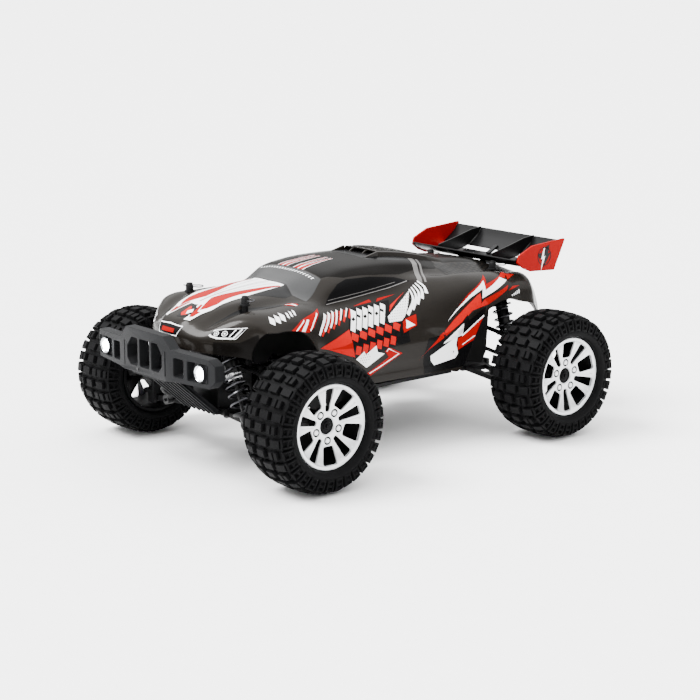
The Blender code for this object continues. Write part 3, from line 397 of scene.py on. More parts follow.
PAINT_GREY = finish("paint_grey", (0.1, 0.096, 0.092), 0.28, 0.2, vary=0.05, bump=0.0, specular=0.3)
WING_BLACK = finish("wing_black", (0.0028, 0.0028, 0.003), 0.3, bump=0.06, specular=0.1)
WING_RED = finish("wing_red", (0.24, 0.001, 0.0012), 0.32, vary=0.06, bump=0.04, specular=0.03)


def dress_cad_nodes():
    """Give the CAD nodes that stay visible their finished materials."""
    by_slot = {"chassis_nylon": BLACK_NYLON, "steel": STEEL, "motor_silver": MOTOR_SILVER, "brass": BRASS,
               "gear_nylon": GEAR_NYLON, "battery_wrap": BATTERY_WRAP, "electronics_case": CASE}
    for entry in frame["record"]["subparts"]:
        if entry["material_slot"] in by_slot:
            for slot in frame["nodes"][entry["node"]].material_slots:
                slot.material = by_slot[entry["material_slot"]]


# ---- wheels

TREAD_PITCHES = 32
CARCASS = [(0.0, (0, 56.0)), (0.2, (9, 55.8)), (0.4, (17, 55.0)), (0.58, (22.8, 53.2)), (0.72, (25.4, 50.6)),
           (0.86, (26.9, 47.6)), (1.0, (28.2, 44.2))]
TREAD = [(0.0, (0, 60.0)), (0.2, (9.2, 59.8)), (0.4, (17.6, 59.0)), (0.58, (24.2, 57.2)),
         (0.72, (28.0, 54.2)), (0.86, (29.1, 49.4)), (1.0, (28.9, 44.6))]
# A tread block of the crown is (across from, across to, height share); every second row has the second set
CROWN_ALONG = (0.2, 0.82)
CROWN_BLOCKS = (
    [(-0.43, -0.11, 0.6), (-0.43, -0.285, 1.0), (-0.255, -0.11, 1.0), (-0.02, 0.235, 1.0), (0.335, 0.6, 1.0),
     (-0.6, -0.49, 1.0)],
    [(-0.105, 0.105, 1.0), (0.235, 0.48, 0.6), (0.235, 0.345, 1.0), (0.375, 0.48, 1.0), (-0.48, -0.235, 1.0)],
)
# A tread block of the shoulder is (across from, across to, along from, along to, height share), with the
# distance along in pitches
SHOULDER_BLOCKS = [
    (0.62, 0.69, 0.1, 0.9, 1.0), (0.79, 0.85, 0.28, 0.72, 0.9), (0.94, 1.0, 0.1, 0.9, 1.0),
    (0.69, 0.94, 0.1, 0.29, 1.0), (0.69, 0.94, 0.71, 0.9, 1.0), (0.66, 0.97, 0.14, 0.86, 0.25),
]


def along_table(table, t):
    """Return the point at t on a line given by (t, point) pairs."""
    for (t0, first), (t1, second) in zip(table, table[1:]):
        if t <= t1:
            share = (t - t0) / (t1 - t0)
            return Vector(first) * (1 - share) + Vector(second) * share
    return Vector(table[-1][1])


def across_tyre(table, t):
    """Return the (along the axle, radius) point at a share of the way from the crown to a bead."""
    point = along_table(table, abs(t))
    return Vector((math.copysign(point.x, t), point.y))


def add_tread_block(shape, block, angle):
    """Add one tread block with tapered sides and a narrow chamfer round its top."""
    t0, t1, a0, a1, height = block
    pitch = 2 * math.pi / TREAD_PITCHES
    steps = 1 if t1 - t0 < 0.16 else 2
    layers = ((-0.12, 0.0, 0.0), (0.86, 0.10, 0.004), (1.0, 0.45, 0.012))
    points = []
    for share, inset, t_inset in layers:
        for direction in (1, -1):
            for i in range(steps + 1):
                step = i if direction == 1 else steps - i
                t = t0 + t_inset + (t1 - t0 - 2 * t_inset) * step / steps
                low = across_tyre(CARCASS, t)
                at = low + (across_tyre(TREAD, t) - low) * share * height
                edge = a0 if direction == 1 else a1
                turn = angle + edge * pitch + direction * inset / TYRE_RADIUS
                points.append((at.x, at.y * math.cos(turn), at.y * math.sin(turn)))
    size = 2 * (steps + 1)
    faces = []
    for layer in range(2):
        for i in range(size):
            j = (i + 1) % size
            faces.append((layer * size + i, layer * size + j, (layer + 1) * size + j, (layer + 1) * size + i))
    for i in range(steps):
        faces.append((2 * size + i, 2 * size + i + 1, 3 * size - 2 - i, 3 * size - 1 - i))
        faces.append((size - 1 - i, size - 2 - i, i + 1, i))
    shape.add(points, faces)


def tyre_mesh():
    """Return the tyre about its own centre, with its outer side towards +x."""
    shape = Shape()
    bead = [(28.5, 42.8), (28.2, 41.0), (27.0, 39.2), (25.0, 38.2), (23.4, 37.5), (21.5, 37.3)]
    half = [point for _, point in CARCASS] + bead
    half = [tuple(point) for point in curve_through(half, 3)]
    profile = [(-u, r) for u, r in half[::-1]] + half[1:]
    add_x_turned(shape, profile, 128)
    for i in range(TREAD_PITCHES):
        angle = 2 * math.pi * i / TREAD_PITCHES
        for t0, t1, height in CROWN_BLOCKS[i % 2]:
            add_tread_block(shape, (t0, t1, *CROWN_ALONG, height), angle)
        for t0, t1, *rest in SHOULDER_BLOCKS:
            add_tread_block(shape, (t0, t1, *rest), angle)
            add_tread_block(shape, (-t1, -t0, *rest), angle)
    return shape.mesh("tyre")


SPOKES = 5
LUG_CIRCLE = 12.7
RIM_EDGE = 23.7
RIM_RADIUS = 37.2
# The rim's face and edge as (x, radius) points
RIM_FRONT = [(17.4, 7.3), (18.3, 8.2), (18.5, 16.5), (20.4, 25.0), (21.9, 32.4), (23.0, 33.8),
             (RIM_EDGE, 34.4), (RIM_EDGE, 36.6), (23.2, RIM_RADIUS)]


def spoke_turn(i):
    """Return the direction of a wide window and its lug nut."""
    return 2 * math.pi * i / SPOKES - math.pi / 2


def around(radius, turn):
    """Return the (y, z) point at a radius and a direction from the wheel's centre."""
    return (radius * math.cos(turn), radius * math.sin(turn))


def turned_outline(outline, turn):
    """Return a rim outline of (outwards, across) points turned about the wheel's centre."""
    cosine, sine = math.cos(turn), math.sin(turn)
    return [(a * cosine - b * sine, a * sine + b * cosine) for a, b in outline]


def rim_face_mesh():
    """Return the rim's silver face: a dished disc with five wide windows, five slots and five lug holes."""
    back = [(20.6, RIM_RADIUS), (20.6, 34.6), (20.3, 32.4), (18.8, 25.0), (17.0, 16.5), (16.6, 7.3)]
    shape = Shape()
    add_x_turned(shape, RIM_FRONT + back, 120)
    wide = rounded([(17.6, -5.3), (33.5, -8.0), (33.5, 8.0), (17.6, 5.3)], 2.0)
    slot = rounded([(12.6, -2.1), (33.5, -4.7), (33.5, 4.7), (12.6, 2.1)], 1.7)
    cutters = []
    for i in range(SPOKES):
        middle = spoke_turn(i)
        for outline in (turned_outline(wide, middle), turned_outline(slot, middle + math.pi / SPOKES),
                        circle(3.7, 28, around(LUG_CIRCLE, middle))):
            cutters.append(add_prism(Shape(), "x", 5.0, 30.0, outline).mesh())
    return cut_mesh(shape.mesh(), cutters)


def rim_inside_shape():
    """Return the dark barrel, hub, webs and lug-hole rings behind the rim's face."""
    shape = Shape()
    barrel = [(18.6, 36.2), (-22.0, 36.2), (-24.5, 37.6), (-26.5, 37.6), (-26.5, 34.6), (-20.0, 33.6),
              (18.6, 33.6)]
    add_x_turned(shape, barrel, 96)
    hub = [(-19.5, 6.1), (-19.5, 8.5), (-8.0, 10.5), (8.5, 12.0), (12.2, 16.6), (13.4, 16.6), (13.4, 6.1)]
    add_x_turned(shape, hub, 48)
    add_prism(shape, "x", -29.5, 12.0, circle(5.9, 24))
    web = [(10.0, -1.4), (34.0, -1.4), (34.0, 1.4), (10.0, 1.4)]
    for i in range(SPOKES):
        add_prism(shape, "x", -4.0, 12.5, turned_outline(web, spoke_turn(i) + math.pi / SPOKES))
        at = around(LUG_CIRCLE, spoke_turn(i))
        add_x_turned(shape, [(13.0, 0), (13.0, 4.0), (17.9, 4.0), (17.9, 0)], 24, at)
    return shape


def rim_height(radius):
    """Return how far out along the axle the rim's face is at a radius."""
    return height_at([(r, x) for x, r in RIM_FRONT[1:5]], radius)


def rim_trim_shape():
    """Return the lug nuts, the rivets and the fine lines on the rim's face. The lines along the spokes and the
    rings under the rivets take the second material, a darker silver that is painted shade for the steps of the
    spokes and the outlines of the rivets.
    """
    shape = Shape()
    for i in range(SPOKES):
        at = around(LUG_CIRCLE, spoke_turn(i))
        add_x_turned(shape, [(13.0, 0), (13.0, 2.3), (18.4, 2.3), (19.0, 1.8), (19.1, 0)], 20, at)
        slot_turn = spoke_turn(i) + math.pi / SPOKES
        for side in (-1, 1):
            at = around(32.0, slot_turn + side * 0.235)
            add_x_turned(shape, [(21.2, 0), (21.2, 1.0), (22.15, 1.0), (22.45, 0.6), (22.5, 0)], 14, at)
            # A flat ring of the darker silver under each rivet paints the shade of its outline
            add_x_turned(shape, [(21.2, 0), (21.2, 1.35), (21.95, 1.35), (21.95, 0)], 14, at, 1)
            # A thin tube of the darker silver along each side of a spoke paints the shade of the step there
            shade_line = []
            for step in range(9):
                radius = 15.4 + 14.6 * step / 8
                turn = slot_turn + side * (3.6 + 0.17 * (radius - 13)) / radius
                shade_line.append((rim_height(radius) + 0.05, *around(radius, turn)))
            add_tube(shape, shade_line, 0.26, 6, 1)
    return shape


def wheel_nut_shape():
    """Return the hexagonal flanged wheel nut on the end of its axle."""
    shape = Shape()
    add_x_turned(shape, [(12.8, 0), (12.8, 7.1), (16.2, 7.1), (16.8, 6.2), (16.8, 0)], 32)
    add_x_turned(shape, [(15.0, 0), (15.0, 4.4), (17.9, 4.4), (18.4, 3.6), (18.4, 0)], 6)
    add_x_turned(shape, [(17.0, 0), (17.0, 2.0), (19.4, 2.0), (19.8, 1.6), (19.8, 0)], 16)
    return shape


def build_wheels():
    """Add the four wheels, which share their meshes."""
    tyre = tyre_mesh()
    face = rim_face_mesh()
    inside = rim_inside_shape().mesh("rim_inside")
    trim = rim_trim_shape().mesh("rim_trim")
    nut = wheel_nut_shape().mesh("wheel_nut")
    for end, side in CORNERS:
        corner = f"{end}_{side}"
        body = f"{corner}_wheel"
        at = Matrix.Translation(joint_point(f"{corner}_wheel_spin") * MM)
        if side == "right":
            at = at @ Matrix.Rotation(math.pi, 4, "Z")
        if end == "rear":
            at = at @ Matrix.Rotation(math.pi, 4, "X")
        tyre_node, rim_node = f"{corner}_tyre", f"{corner}_rim"
        piece(f"{corner}_treaded_tyre", tyre, RUBBER, [tyre_node], body, at=at)
        piece(f"{corner}_rim_face", face, RIM_SILVER, [rim_node], body, bevel=0.35, at=at)
        piece(f"{corner}_rim_inside", inside, RIM_BLACK, body=body, bevel=0.3, at=at)
        piece(f"{corner}_rim_trim", trim, [RIM_SILVER, RIM_PAINTED_SHADE], body=body, at=at)
        piece(f"{corner}_wheel_nut", nut, RIM_BLACK, body=body, bevel=0.2, at=at)


# ---- body shell

# Each station is (y, sweep-back at 90 mm from the middle, height in the middle, and the points from there
# outwards and down to the lower edge as (x, z))
SWEEP_AT = 90.0
STATIONS = [
    (-203, 60, 113, [(13, 113), (24, 112), (35, 111), (46, 110), (57, 109), (66, 108), (72, 106)]),
    (-204, 60, 125, [(15, 124.5), (25, 123), (36, 122), (47, 121), (58, 120), (67, 118), (73, 114)]),
    (-197, 52, 135.5, [(16, 135), (23, 132), (34, 129), (46, 130.5), (58, 131.5), (69, 130), (76, 124)]),
    (-188, 40, 140, [(19, 139), (26, 137), (36, 133), (48, 136.5), (60, 137), (71, 134), (79, 128)]),
    (-174, 24, 146, [(21, 145), (30, 143.5), (41, 138), (52, 142), (64, 141.5), (75, 136.5), (82, 130)]),
    (-155, 10, 151, [(24, 150.5), (35, 149), (45, 142), (56, 145.5), (68, 143.5), (78.5, 137), (84.5, 130)]),
    (-135, 4, 154, [(23, 153.2), (35, 150), (46, 143.5), (57, 145.5), (70, 143), (80, 136.5), (85, 129.5)]),
    (-115, 1, 156, [(24, 155), (35, 151), (48, 144.5), (58, 146), (70, 142.5), (80, 134), (85, 124)]),
    (-104, 0, 156.8, [(24, 155.6), (36, 151), (50, 145.5), (60, 145.5), (71, 141), (80.5, 129), (85, 112)]),
    (-92, 0, 157.5, [(25, 156), (40, 150.5), (54, 146), (62, 144), (72, 138.5), (81, 121), (85, 92)]),
    (-80, 0, 161.8, [(27, 160.4), (44, 155), (55, 148), (62, 142.5), (72, 135), (82, 115), (86, 70)]),
    (-66, 0, 168, [(28, 166.3), (46, 162), (55, 154.5), (61, 142), (72, 131), (83, 112), (87, 69.5)]),
    (-45, 0, 171.5, [(27, 170), (45, 166.5), (54, 159), (61, 143.5), (72, 131), (83, 111), (87, 69)]),
    (-10, 0, 173.3, [(27, 172.1), (45, 168.5), (54, 161), (61, 147.5), (72, 132), (83, 110), (87, 68.5)]),
    (20, 0, 172.5, [(24, 171.7), (45, 167), (53, 158.5), (61, 151.5), (73, 137), (84, 112), (87.5, 68)]),
    (50, 0, 168.6, [(24, 168), (44, 163.5), (53, 155), (62, 152.5), (75, 141), (85, 114), (88, 68)]),
    (70, 0, 164.5, [(25, 164), (42, 158), (52, 151.5), (64, 152.5), (77, 143.5), (86, 118), (88, 68)]),
    (84, 0, 161.5, [(26, 161), (41, 155), (52, 149.5), (65, 153), (78, 145), (86, 126), (88, 92)]),
    (97, 0, 159, [(26, 158.5), (40, 152.5), (52, 148.5), (65, 152.5), (78, 146), (85.5, 132), (88, 113)]),
    (115, 0, 158.4, [(26, 157.8), (40, 151), (52, 147), (64, 151.5), (77, 146), (85, 136), (88, 124)]),
    (135, -2, 156.2, [(26, 155.6), (40, 150), (52, 146), (63, 149.5), (76, 145), (84, 136), (87, 126)]),
    (155, -8, 152.6, [(26, 152), (40, 147.5), (52, 144.5), (62, 146.5), (74, 142), (82, 133), (85, 122)]),
    (178, -10, 146.2, [(25, 145.7), (38, 143.8), (50, 143), (60, 143.5), (71, 139.5), (79, 129.5),
                       (83, 116)]),
    (194, -22, 139, [(24, 138.5), (36, 138), (47, 137.5), (57, 137), (67, 132), (75, 121), (79, 110)]),
    (204, -28, 128, [(24, 128), (36, 127), (47, 126), (56, 124.5), (65, 120), (72, 111), (75, 104)]),
    (207, -31, 114, [(24, 114), (36, 112), (46, 110), (55, 108), (63, 105), (70, 101), (73, 98)]),
]
SHELL_THICKNESS = 1.3
ROW_STEP = 2.6
COLUMN_STEPS = [8, 5, 5, 5, 6, 7, 12]
CREASES = [0.0, 0.1, 0.45, 0.15, 0.2, 0.0, 0.25, 0.0]


def slopes(points, places):
    """Return the smooth slope at each place."""
    spans = list(zip(points, points[1:], places, places[1:]))
    chords = [(second - first) / (end - start) for first, second, start, end in spans]
    result = [chords[0]]
    for i in range(1, len(chords)):
        left, right = places[i] - places[i - 1], places[i + 1] - places[i]
        result.append((chords[i - 1] * right + chords[i] * left) / (left + right))
    return result + [chords[-1]]


def shell_rows():
    """Return the stations with smooth ones added between them, as rows of points on the left half."""
    stations = []
    for y, sweep, crown, points in STATIONS:
        stations.append([Vector((x, y + sweep * (x / SWEEP_AT) ** 2, z)) for x, z in [(0, crown), *points]])
    places = [0.0]
    for first, second in zip(stations, stations[1:]):
        places.append(places[-1] + (second[2] - first[2]).length)
    columns = [[station[j] for station in stations] for j in range(len(stations[0]))]
    column_slopes = [slopes(column, places) for column in columns]
    rows = []
    for i in range(len(stations) - 1):
        length = places[i + 1] - places[i]
        steps = max(2, round(length / ROW_STEP))
        for step in range(steps + (i == len(stations) - 2)):
            t = step / steps
            rows.append([hermite(column[i], column[i + 1], slope[i], slope[i + 1], length, t)
                         for column, slope in zip(columns, column_slopes)])
    return rows


def fine_row(row):
    """Return a row of the left half with smooth points added across the car."""
    places = [0.0]
    for first, second in zip(row, row[1:]):
        places.append(places[-1] + max((second - first).length, 0.01))
    smooth = slopes(row, places)
    smooth[0] = Vector((1, 0, 0))
    points = []
    for j in range(len(row) - 1):
        length = places[j + 1] - places[j]
        chord = (row[j + 1] - row[j]) / length
        start = smooth[j].lerp(chord, CREASES[j])
        end = smooth[j + 1].lerp(chord, CREASES[j + 1])
        last = j == len(row) - 2
        for step in range(COLUMN_STEPS[j] + last):
            points.append(hermite(row[j], row[j + 1], start, end, length, step / COLUMN_STEPS[j]))
    return points


def bump_profile(distance, width):
    """Return a smooth hill of height 1 that falls to 0 at the given distance."""
    share = min(abs(distance) / width, 1.0)
    return (1 - share * share) ** 2


def line_distance(y, z, line):
    """Return the distance from a side-view point to a line of side-view points."""
    best = 1e9
    here = Vector((y, z))
    for first, second in zip(line, line[1:]):
        first, second = Vector(first), Vector(second)
        along = second - first
        share = max(0.0, min(1.0, (here - first).dot(along) / along.length_squared))
        best = min(best, (here - first - along * share).length)
    return best


# Side-view grooves of the flanks: (line, half width, depth)
SIDE_GROOVES = [
    ([(-2, 113), (12, 113.5), (32, 111)], 3.5, 1.1),
    ([(-6, 106), (20, 106.5), (46, 102.5)], 3.5, 1.3),
    ([(-92, 141), (-60, 139.5), (0, 144), (30, 150)], 3.0, 0.8),
    ([(-60, 80), (10, 79), (60, 79)], 4.0, 0.8),
]


def side_relief(point):
    """Return how far a point of the flank is pushed in."""
    if point.x < 60:
        return 0.0
    depth = 0.0
    for line, width, height in SIDE_GROOVES:
        depth += height * bump_profile(line_distance(point.y, point.z, line), width)
    return depth


def shell_grid():
    """Return the shell's outer surface as rows of points from the right edge to the left edge."""
    grid = []
    for row in shell_rows():
        half = fine_row(row)
        for point in half:
            point.x -= side_relief(point)
        mirrored = [Vector((-point.x, point.y, point.z)) for point in half[:0:-1]]
        grid.append(mirrored + half)
    return grid


def grid_normals(grid):
    """Return the outward normal at each point of the shell's grid."""
    rows, width = len(grid), len(grid[0])
    normals = []
    for i in range(rows):
        normals.append([])
        for j in range(width):
            along = grid[min(i + 1, rows - 1)][j] - grid[max(i - 1, 0)][j]
            across = grid[i][min(j + 1, width - 1)] - grid[i][max(j - 1, 0)]
            normals[i].append(across.cross(along).normalized())
    return normals


GRID = shell_grid()
NORMALS = grid_normals(GRID)
HALF_COLUMNS = len(GRID[0]) // 2
COLUMN_STARTS = [sum(COLUMN_STEPS[:j]) for j in range(len(COLUMN_STEPS) + 1)]


def in_place(point):
    """Return a point of the bodywork in the car's frame."""
    return (point[0], point[1] + CENTRE_Y, point[2])


def build_shell():
    """Add the painted shell as a thin closed solid with a dark inside."""
    outer = [[in_place(point) for point in row] for row in GRID]
    inner = [[in_place(point - normal * SHELL_THICKNESS) for point, normal in zip(row, normals)]
             for row, normals in zip(GRID, NORMALS)]
    shape = Shape()
    add_thin_sheet(shape, outer, inner, 1)
    piece("painted_shell", shape, [PAINT, SHELL_INSIDE], ["body_shell"], smooth=50)


def under_shell(y):
    """Return (x, z) points across the car, 2 mm under the shell, at the row nearest to a y."""
    row = min(range(len(GRID)), key=lambda i: abs(GRID[i][HALF_COLUMNS].y - y))
    return [(point - normal * 2.0).xz for point, normal in zip(GRID[row], NORMALS[row])]


def build_well_walls():
    """Add the dark walls behind the front wheels and ahead of the rear wheels."""
    wall = Shape()
    for side in (1, -1):
        add_plate(wall, side * 62.0, side * 63.2,
                  [(78, 70), (119, 61), (125, 72), (127, 100), (129, 132), (116, 138), (80, 140)])
    top = [(x, z) for x, z in under_shell(-92) if z > 100 and abs(x) < 77]
    outline = [(-46, 62), (top[0][0], 74.0), *top, (top[-1][0], 74.0), (46, 62), (46, 77),
               (31, 77), (31, 90), (5, 90), (5, 77), (-46, 77)]
    add_prism(wall, "y", -92 + CENTRE_Y, -90.8 + CENTRE_Y, outline)
    for side in (1, -1):
        top = [(side * abs(x), z) for x, z in under_shell(80) if z > 100 and 44 < side * x < 84]
        outline = [(top[0][0], 72.0), *top, (top[-1][0], 72.0)]
        add_prism(wall, "y", 80 + CENTRE_Y, 81.2 + CENTRE_Y, outline)
    piece("wheel_well_walls", wall, SHELL_INSIDE)


# ---- painted decoration

# Each view of the shell: the two axes its outlines use, and the columns of the shell it covers
VIEWS = {"top": (0, 1, (0, 6)), "flank": (1, 2, (4, 7)), "cabin": (1, 2, (2, 7)),
         "nose": (0, 2, (0, 6)), "front": (0, 2, (1, 7))}
NOSE_END = -150.0
CELLS = {}


def limits(corners):
    """Return the lowest and the highest corner of the box round an outline."""
    return [[pick(corner[k] for corner in corners) for k in (0, 1)] for pick in (min, max)]


def shell_cells(view, side):
    """Return the shell's cells on one side as (low corner, high corner, corners) in a view."""
    if (view, side) in CELLS:
        return CELLS[view, side]
    across, up, (first, last) = VIEWS[view]
    found = []
    for i in range(len(GRID) - 1):
        for j in range(COLUMN_STARTS[first], COLUMN_STARTS[last]):
            corners = []
            for row, column in ((i, j), (i, j + 1), (i + 1, j + 1), (i + 1, j)):
                index = HALF_COLUMNS + side * column
                point = GRID[row][index]
                place = (abs(point.x), point.y, point.z)
                corners.append((place[across], place[up], point, NORMALS[row][index]))
            if view not in ("nose", "front") or corners[0][2].y <= NOSE_END:
                found.append((*limits(corners), corners))
    CELLS[view, side] = found
    return found


def clipped(polygon, first, second):
    """Return the part of a polygon of rows (u, v, position, normal) left of the line first-second."""
    edge = (second[0] - first[0], second[1] - first[1])

    def signed(corner):
        return edge[0] * (corner[1] - first[1]) - edge[1] * (corner[0] - first[0])

    result = []
    for i, corner in enumerate(polygon):
        following = polygon[(i + 1) % len(polygon)]
        here, there = signed(corner), signed(following)
        if here >= 0:
            result.append(corner)
        if (here >= 0) != (there >= 0):
            share = here / (here - there)
            u, v = [corner[k] + (following[k] - corner[k]) * share for k in (0, 1)]
            result.append((u, v, corner[2].lerp(following[2], share), corner[3].lerp(following[3], share)))
    return result


class Sheet:
    """Thin painted areas that follow the shell, gathered for one colour."""

    def __init__(self, lift, view):
        self.shape = Shape()
        self.lift = lift
        self.view = view
        self.normals = []

    def patch(self, outline, view=None, mirror=True):
        """Add the area of the shell inside an outline, on both sides of the car unless told otherwise."""
        flat = [Vector((a, b, 0)) for a, b in outline]
        triangles = [[outline[k] for k in corners] for corners in tessellate_polygon([flat])]
        for side in (1, -1) if mirror else (1,):
            for triangle in triangles:
                self.patch_triangle(triangle, view or self.view, side)

    def patch_triangle(self, triangle, view, side):
        """Add the parts of the shell's cells that lie inside one triangle."""
        (a, b), (c, d), (e, f) = triangle
        area = (c - a) * (f - b) - (d - b) * (e - a)
        if abs(area) < 1e-6:
            return
        if area < 0:
            triangle = triangle[::-1]
        low, high = limits(triangle)
        for cell_low, cell_high, corners in shell_cells(view, side):
            if cell_high[0] < low[0] or cell_low[0] > high[0]:
                continue
            if cell_high[1] < low[1] or cell_low[1] > high[1]:
                continue
            for k in range(3):
                if len(corners) > 2:
                    corners = clipped(corners, triangle[k], triangle[(k + 1) % 3])
            if len(corners) < 3:
                continue
            if side < 0:
                corners = corners[::-1]
            points = [in_place(corner[2] + corner[3].normalized() * self.lift) for corner in corners]
            self.shape.add(points, [tuple(range(len(points)))])
            self.normals += [corner[3].normalized() for corner in corners]

    def stripe(self, line, width, end_width=None, view=None):
        """Add a stripe along a line."""
        self.patch(band(line, width, end_width), view)

    def build(self, name, colour):
        """Turn the areas into a piece that is shaded like the shell under it."""
        mesh = bpy.data.meshes.new(name)
        points = [tuple(value * MM for value in point) for point in self.shape.points]
        mesh.from_pydata(points, [], self.shape.faces)
        mesh.materials.append(colour)
        mesh.shade_smooth()
        mesh.normals_split_custom_set_from_vertices([tuple(normal) for normal in self.normals])
        obj = linked(name, mesh)
        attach(obj, "chassis")


def paint(name, colour, lift, view, outlines, mirror=True):
    """Add a piece of one colour that is made of plain areas."""
    sheet = Sheet(lift, view)
    for outline in outlines:
        sheet.patch(outline, mirror=mirror)
    sheet.build(name, colour)


def band(line, width, end_width=None):
    """Return the outline of a stripe along a line, which may change its width evenly."""
    end_width = width if end_width is None else end_width
    left = []
    right = []
    line = [Vector(point) for point in line]
    for i, point in enumerate(line):
        half = (width + (end_width - width) * i / (len(line) - 1)) / 2
        across = direction_at(line, i).orthogonal() * half
        left.append(tuple(point + across))
        right.append(tuple(point - across))
    return left + right[::-1]


def inside(point, outline):
    """Return whether a point of a view lies inside an outline."""
    found = False
    for first, second in zip(outline, outline[1:] + outline[:1]):
        if (first[1] > point[1]) != (second[1] > point[1]):
            at = first[0] + (point[1] - first[1]) * (second[0] - first[0]) / (second[1] - first[1])
            if point[0] < at:
                found = not found
    return found


def dots_in(area, pitch, radius, start=None):
    """Return hexagons in staggered rows that have their middles inside an area."""
    low, high = limits(area)
    low = start or low
    dots = []
    for row in range(int((high[1] - low[1]) / (pitch * 0.866)) + 1):
        for column in range(int((high[0] - low[0]) / pitch) + 1):
            centre = (low[0] + (column + 0.5 * (row % 2)) * pitch, low[1] + row * pitch * 0.866)
            if inside(centre, area):
                dots.append(circle(radius, 6, centre, 0.5))
    return dots


def paint_windows():
    """Add the windshield, the side windows and the painted highlight lines along them."""
    paint("windshield", GLASS_GREY, 0.12, "top",
          [[(0, -91), (24, -89.5), (40, -95), (54.5, -91), (50, -78), (45.5, -66.5), (0, -67.5)]])
    paint("side_windows", WINDOW_BLACK, 0.12, "cabin",
          [[(-75, 141.2), (-66, 150), (-55, 157.5), (-44, 160.6), (-17, 160.2), (12, 156.5), (27, 152.2),
            (-1, 147.6), (-50, 143)]])
    # Light grey lines painted as highlights: one along the lower edge of each side window, and a thinner one along
    # the recess line inside it
    paint("window_highlight_lines", PAINT_GREY, 0.2, "cabin",
          [band([(-73.5, 142), (-48, 143.8), (0, 148.6), (24, 152.4)], 0.7),
           band([(-70, 145), (-30, 148.2), (10, 152.6)], 0.35)])


def paint_dark_areas():
    """Add the black areas of the hood, roof, nose and rear deck, the painted shade along the valley between hood
    and fender, and the mesh pattern.
    """
    black = Sheet(0.10, "top")
    # The first area is painted shade: a black wedge along the valley between the hood and each front fender, where
    # the shell falls into shade
    black.patch([(35, -186), (38.5, -170), (41, -150), (44, -128), (47, -114), (54, -113), (49.5, -130),
                 (45.5, -150), (40.5, -170)])
    black.patch([(27.6, -131), (34, -118), (41, -104), (40, -95.5), (24, -90), (25.2, -107)])
    black.patch([(29, -4), (35, 8), (39, 30), (38, 56), (30, 66), (27, 40), (27, 10)])
    mesh_area = [(31, 83), (43, 79), (54, 88), (56, 112), (53, 138), (48, 158), (33, 168), (30, 140)]
    black.patch(mesh_area)
    black.patch([(29, 101), (55, 102.4), (64, 97), (64, 86), (84, 92), (84, 69), (22, 69), (22, 84),
                 (26, 94)], "flank")
    black.build("black_paint_and_valley_shade", PAINT_BLACK)
    paint("hex_mesh", PAINT, 0.2, "top", dots_in(mesh_area, 5.2, 2.1, (30, 80)))
    paint("dark_roof", PAINT_DARK, 0.07, "top",
          [[(0, -66), (44, -65.5), (51, -45), (54, -10), (53.5, 20), (48, 52), (43, 76), (31, 83), (0, 88)],
           [(29, 96), (0, 98), (0, 160), (33, 168), (30, 140)]])
    paint("dark_nose", PAINT_DARK, 0.05, "flank",
          [[(-204, 126.5), (-190, 121), (-172, 121.5), (-160, 128.5), (-158, 112), (-170, 100), (-206, 100)]])


def paint_hood():
    """Add the stripes of the hood and the roof, and the plate on the nose."""
    white = Sheet(0.16, "top")
    red = Sheet(0.22, "top")
    white.patch([(0, -174), (5, -173), (9, -181), (12.5, -190), (13, -194.5), (18.5, -192), (20.5, -182),
                 (25, -172.5), (25.6, -162.5), (27, -155), (27.4, -144), (26, -132), (24.8, -108),
                 (22.5, -91), (0, -92)])
    red.patch([(15, -179), (10.2, -169.5), (4, -158), (6.5, -146), (10, -134.5), (15.5, -119), (20.5, -96),
               (23.5, -95), (23, -119), (20.5, -140), (20.8, -156), (22.2, -165), (19.4, -173.5)])
    red.patch([(12.5, -187), (14.5, -190), (17, -188), (18.3, -180), (15, -181), (10.5, -172), (7.5, -172)])
    for centre in (5.5, 12.5):
        red.stripe([(centre + 2.5, -66.3), (centre + 1.2, -50), (centre, -27)], 5.0, 1.2)
        for shift in (-3.2, 3.2):
            white.stripe([(centre + 2.5 + shift, -66.3), (centre + 1.2 + shift * 0.7, -50),
                          (centre + shift * 0.35, -27)], 0.8, 0.4)
    for x in range(0, 40, 4):
        white.stripe([(x + 1.4, -71.6), (x + 1.9, -69.6)], 1.0)
        white.stripe([(x + 1.4, -69.8), (x + 3.4, -69.7)], 0.5)
    red.patch([(-37, -73), (-22, -74), (-22, -70.5), (-36, -69.5)], mirror=False)
    red.patch(circle(6.2, 28, (55.5, -108.5)))
    plate = [(0, 132.6), (16.5, 131.4), (13, 123.3), (0, 123.3)]
    paint("nose_plate", PAINT_BLACK, 0.14, "nose", [plate])
    white.stripe(plate, 0.9, view="nose")
    red.patch([(0, 125.6), (9, 125.6), (9, 129), (0, 129)], "nose")
    white.build("hood_white", PAINT_WHITE)
    red.build("hood_red", PAINT_RED)
    paint("hood_grey", PAINT_GREY, 0.24, "top",
          [band([(0.6, -168), (0.8, -140), (2, -93)], 0.8), band([(3.5, -150), (6.5, -134), (13, -93)], 0.7)])


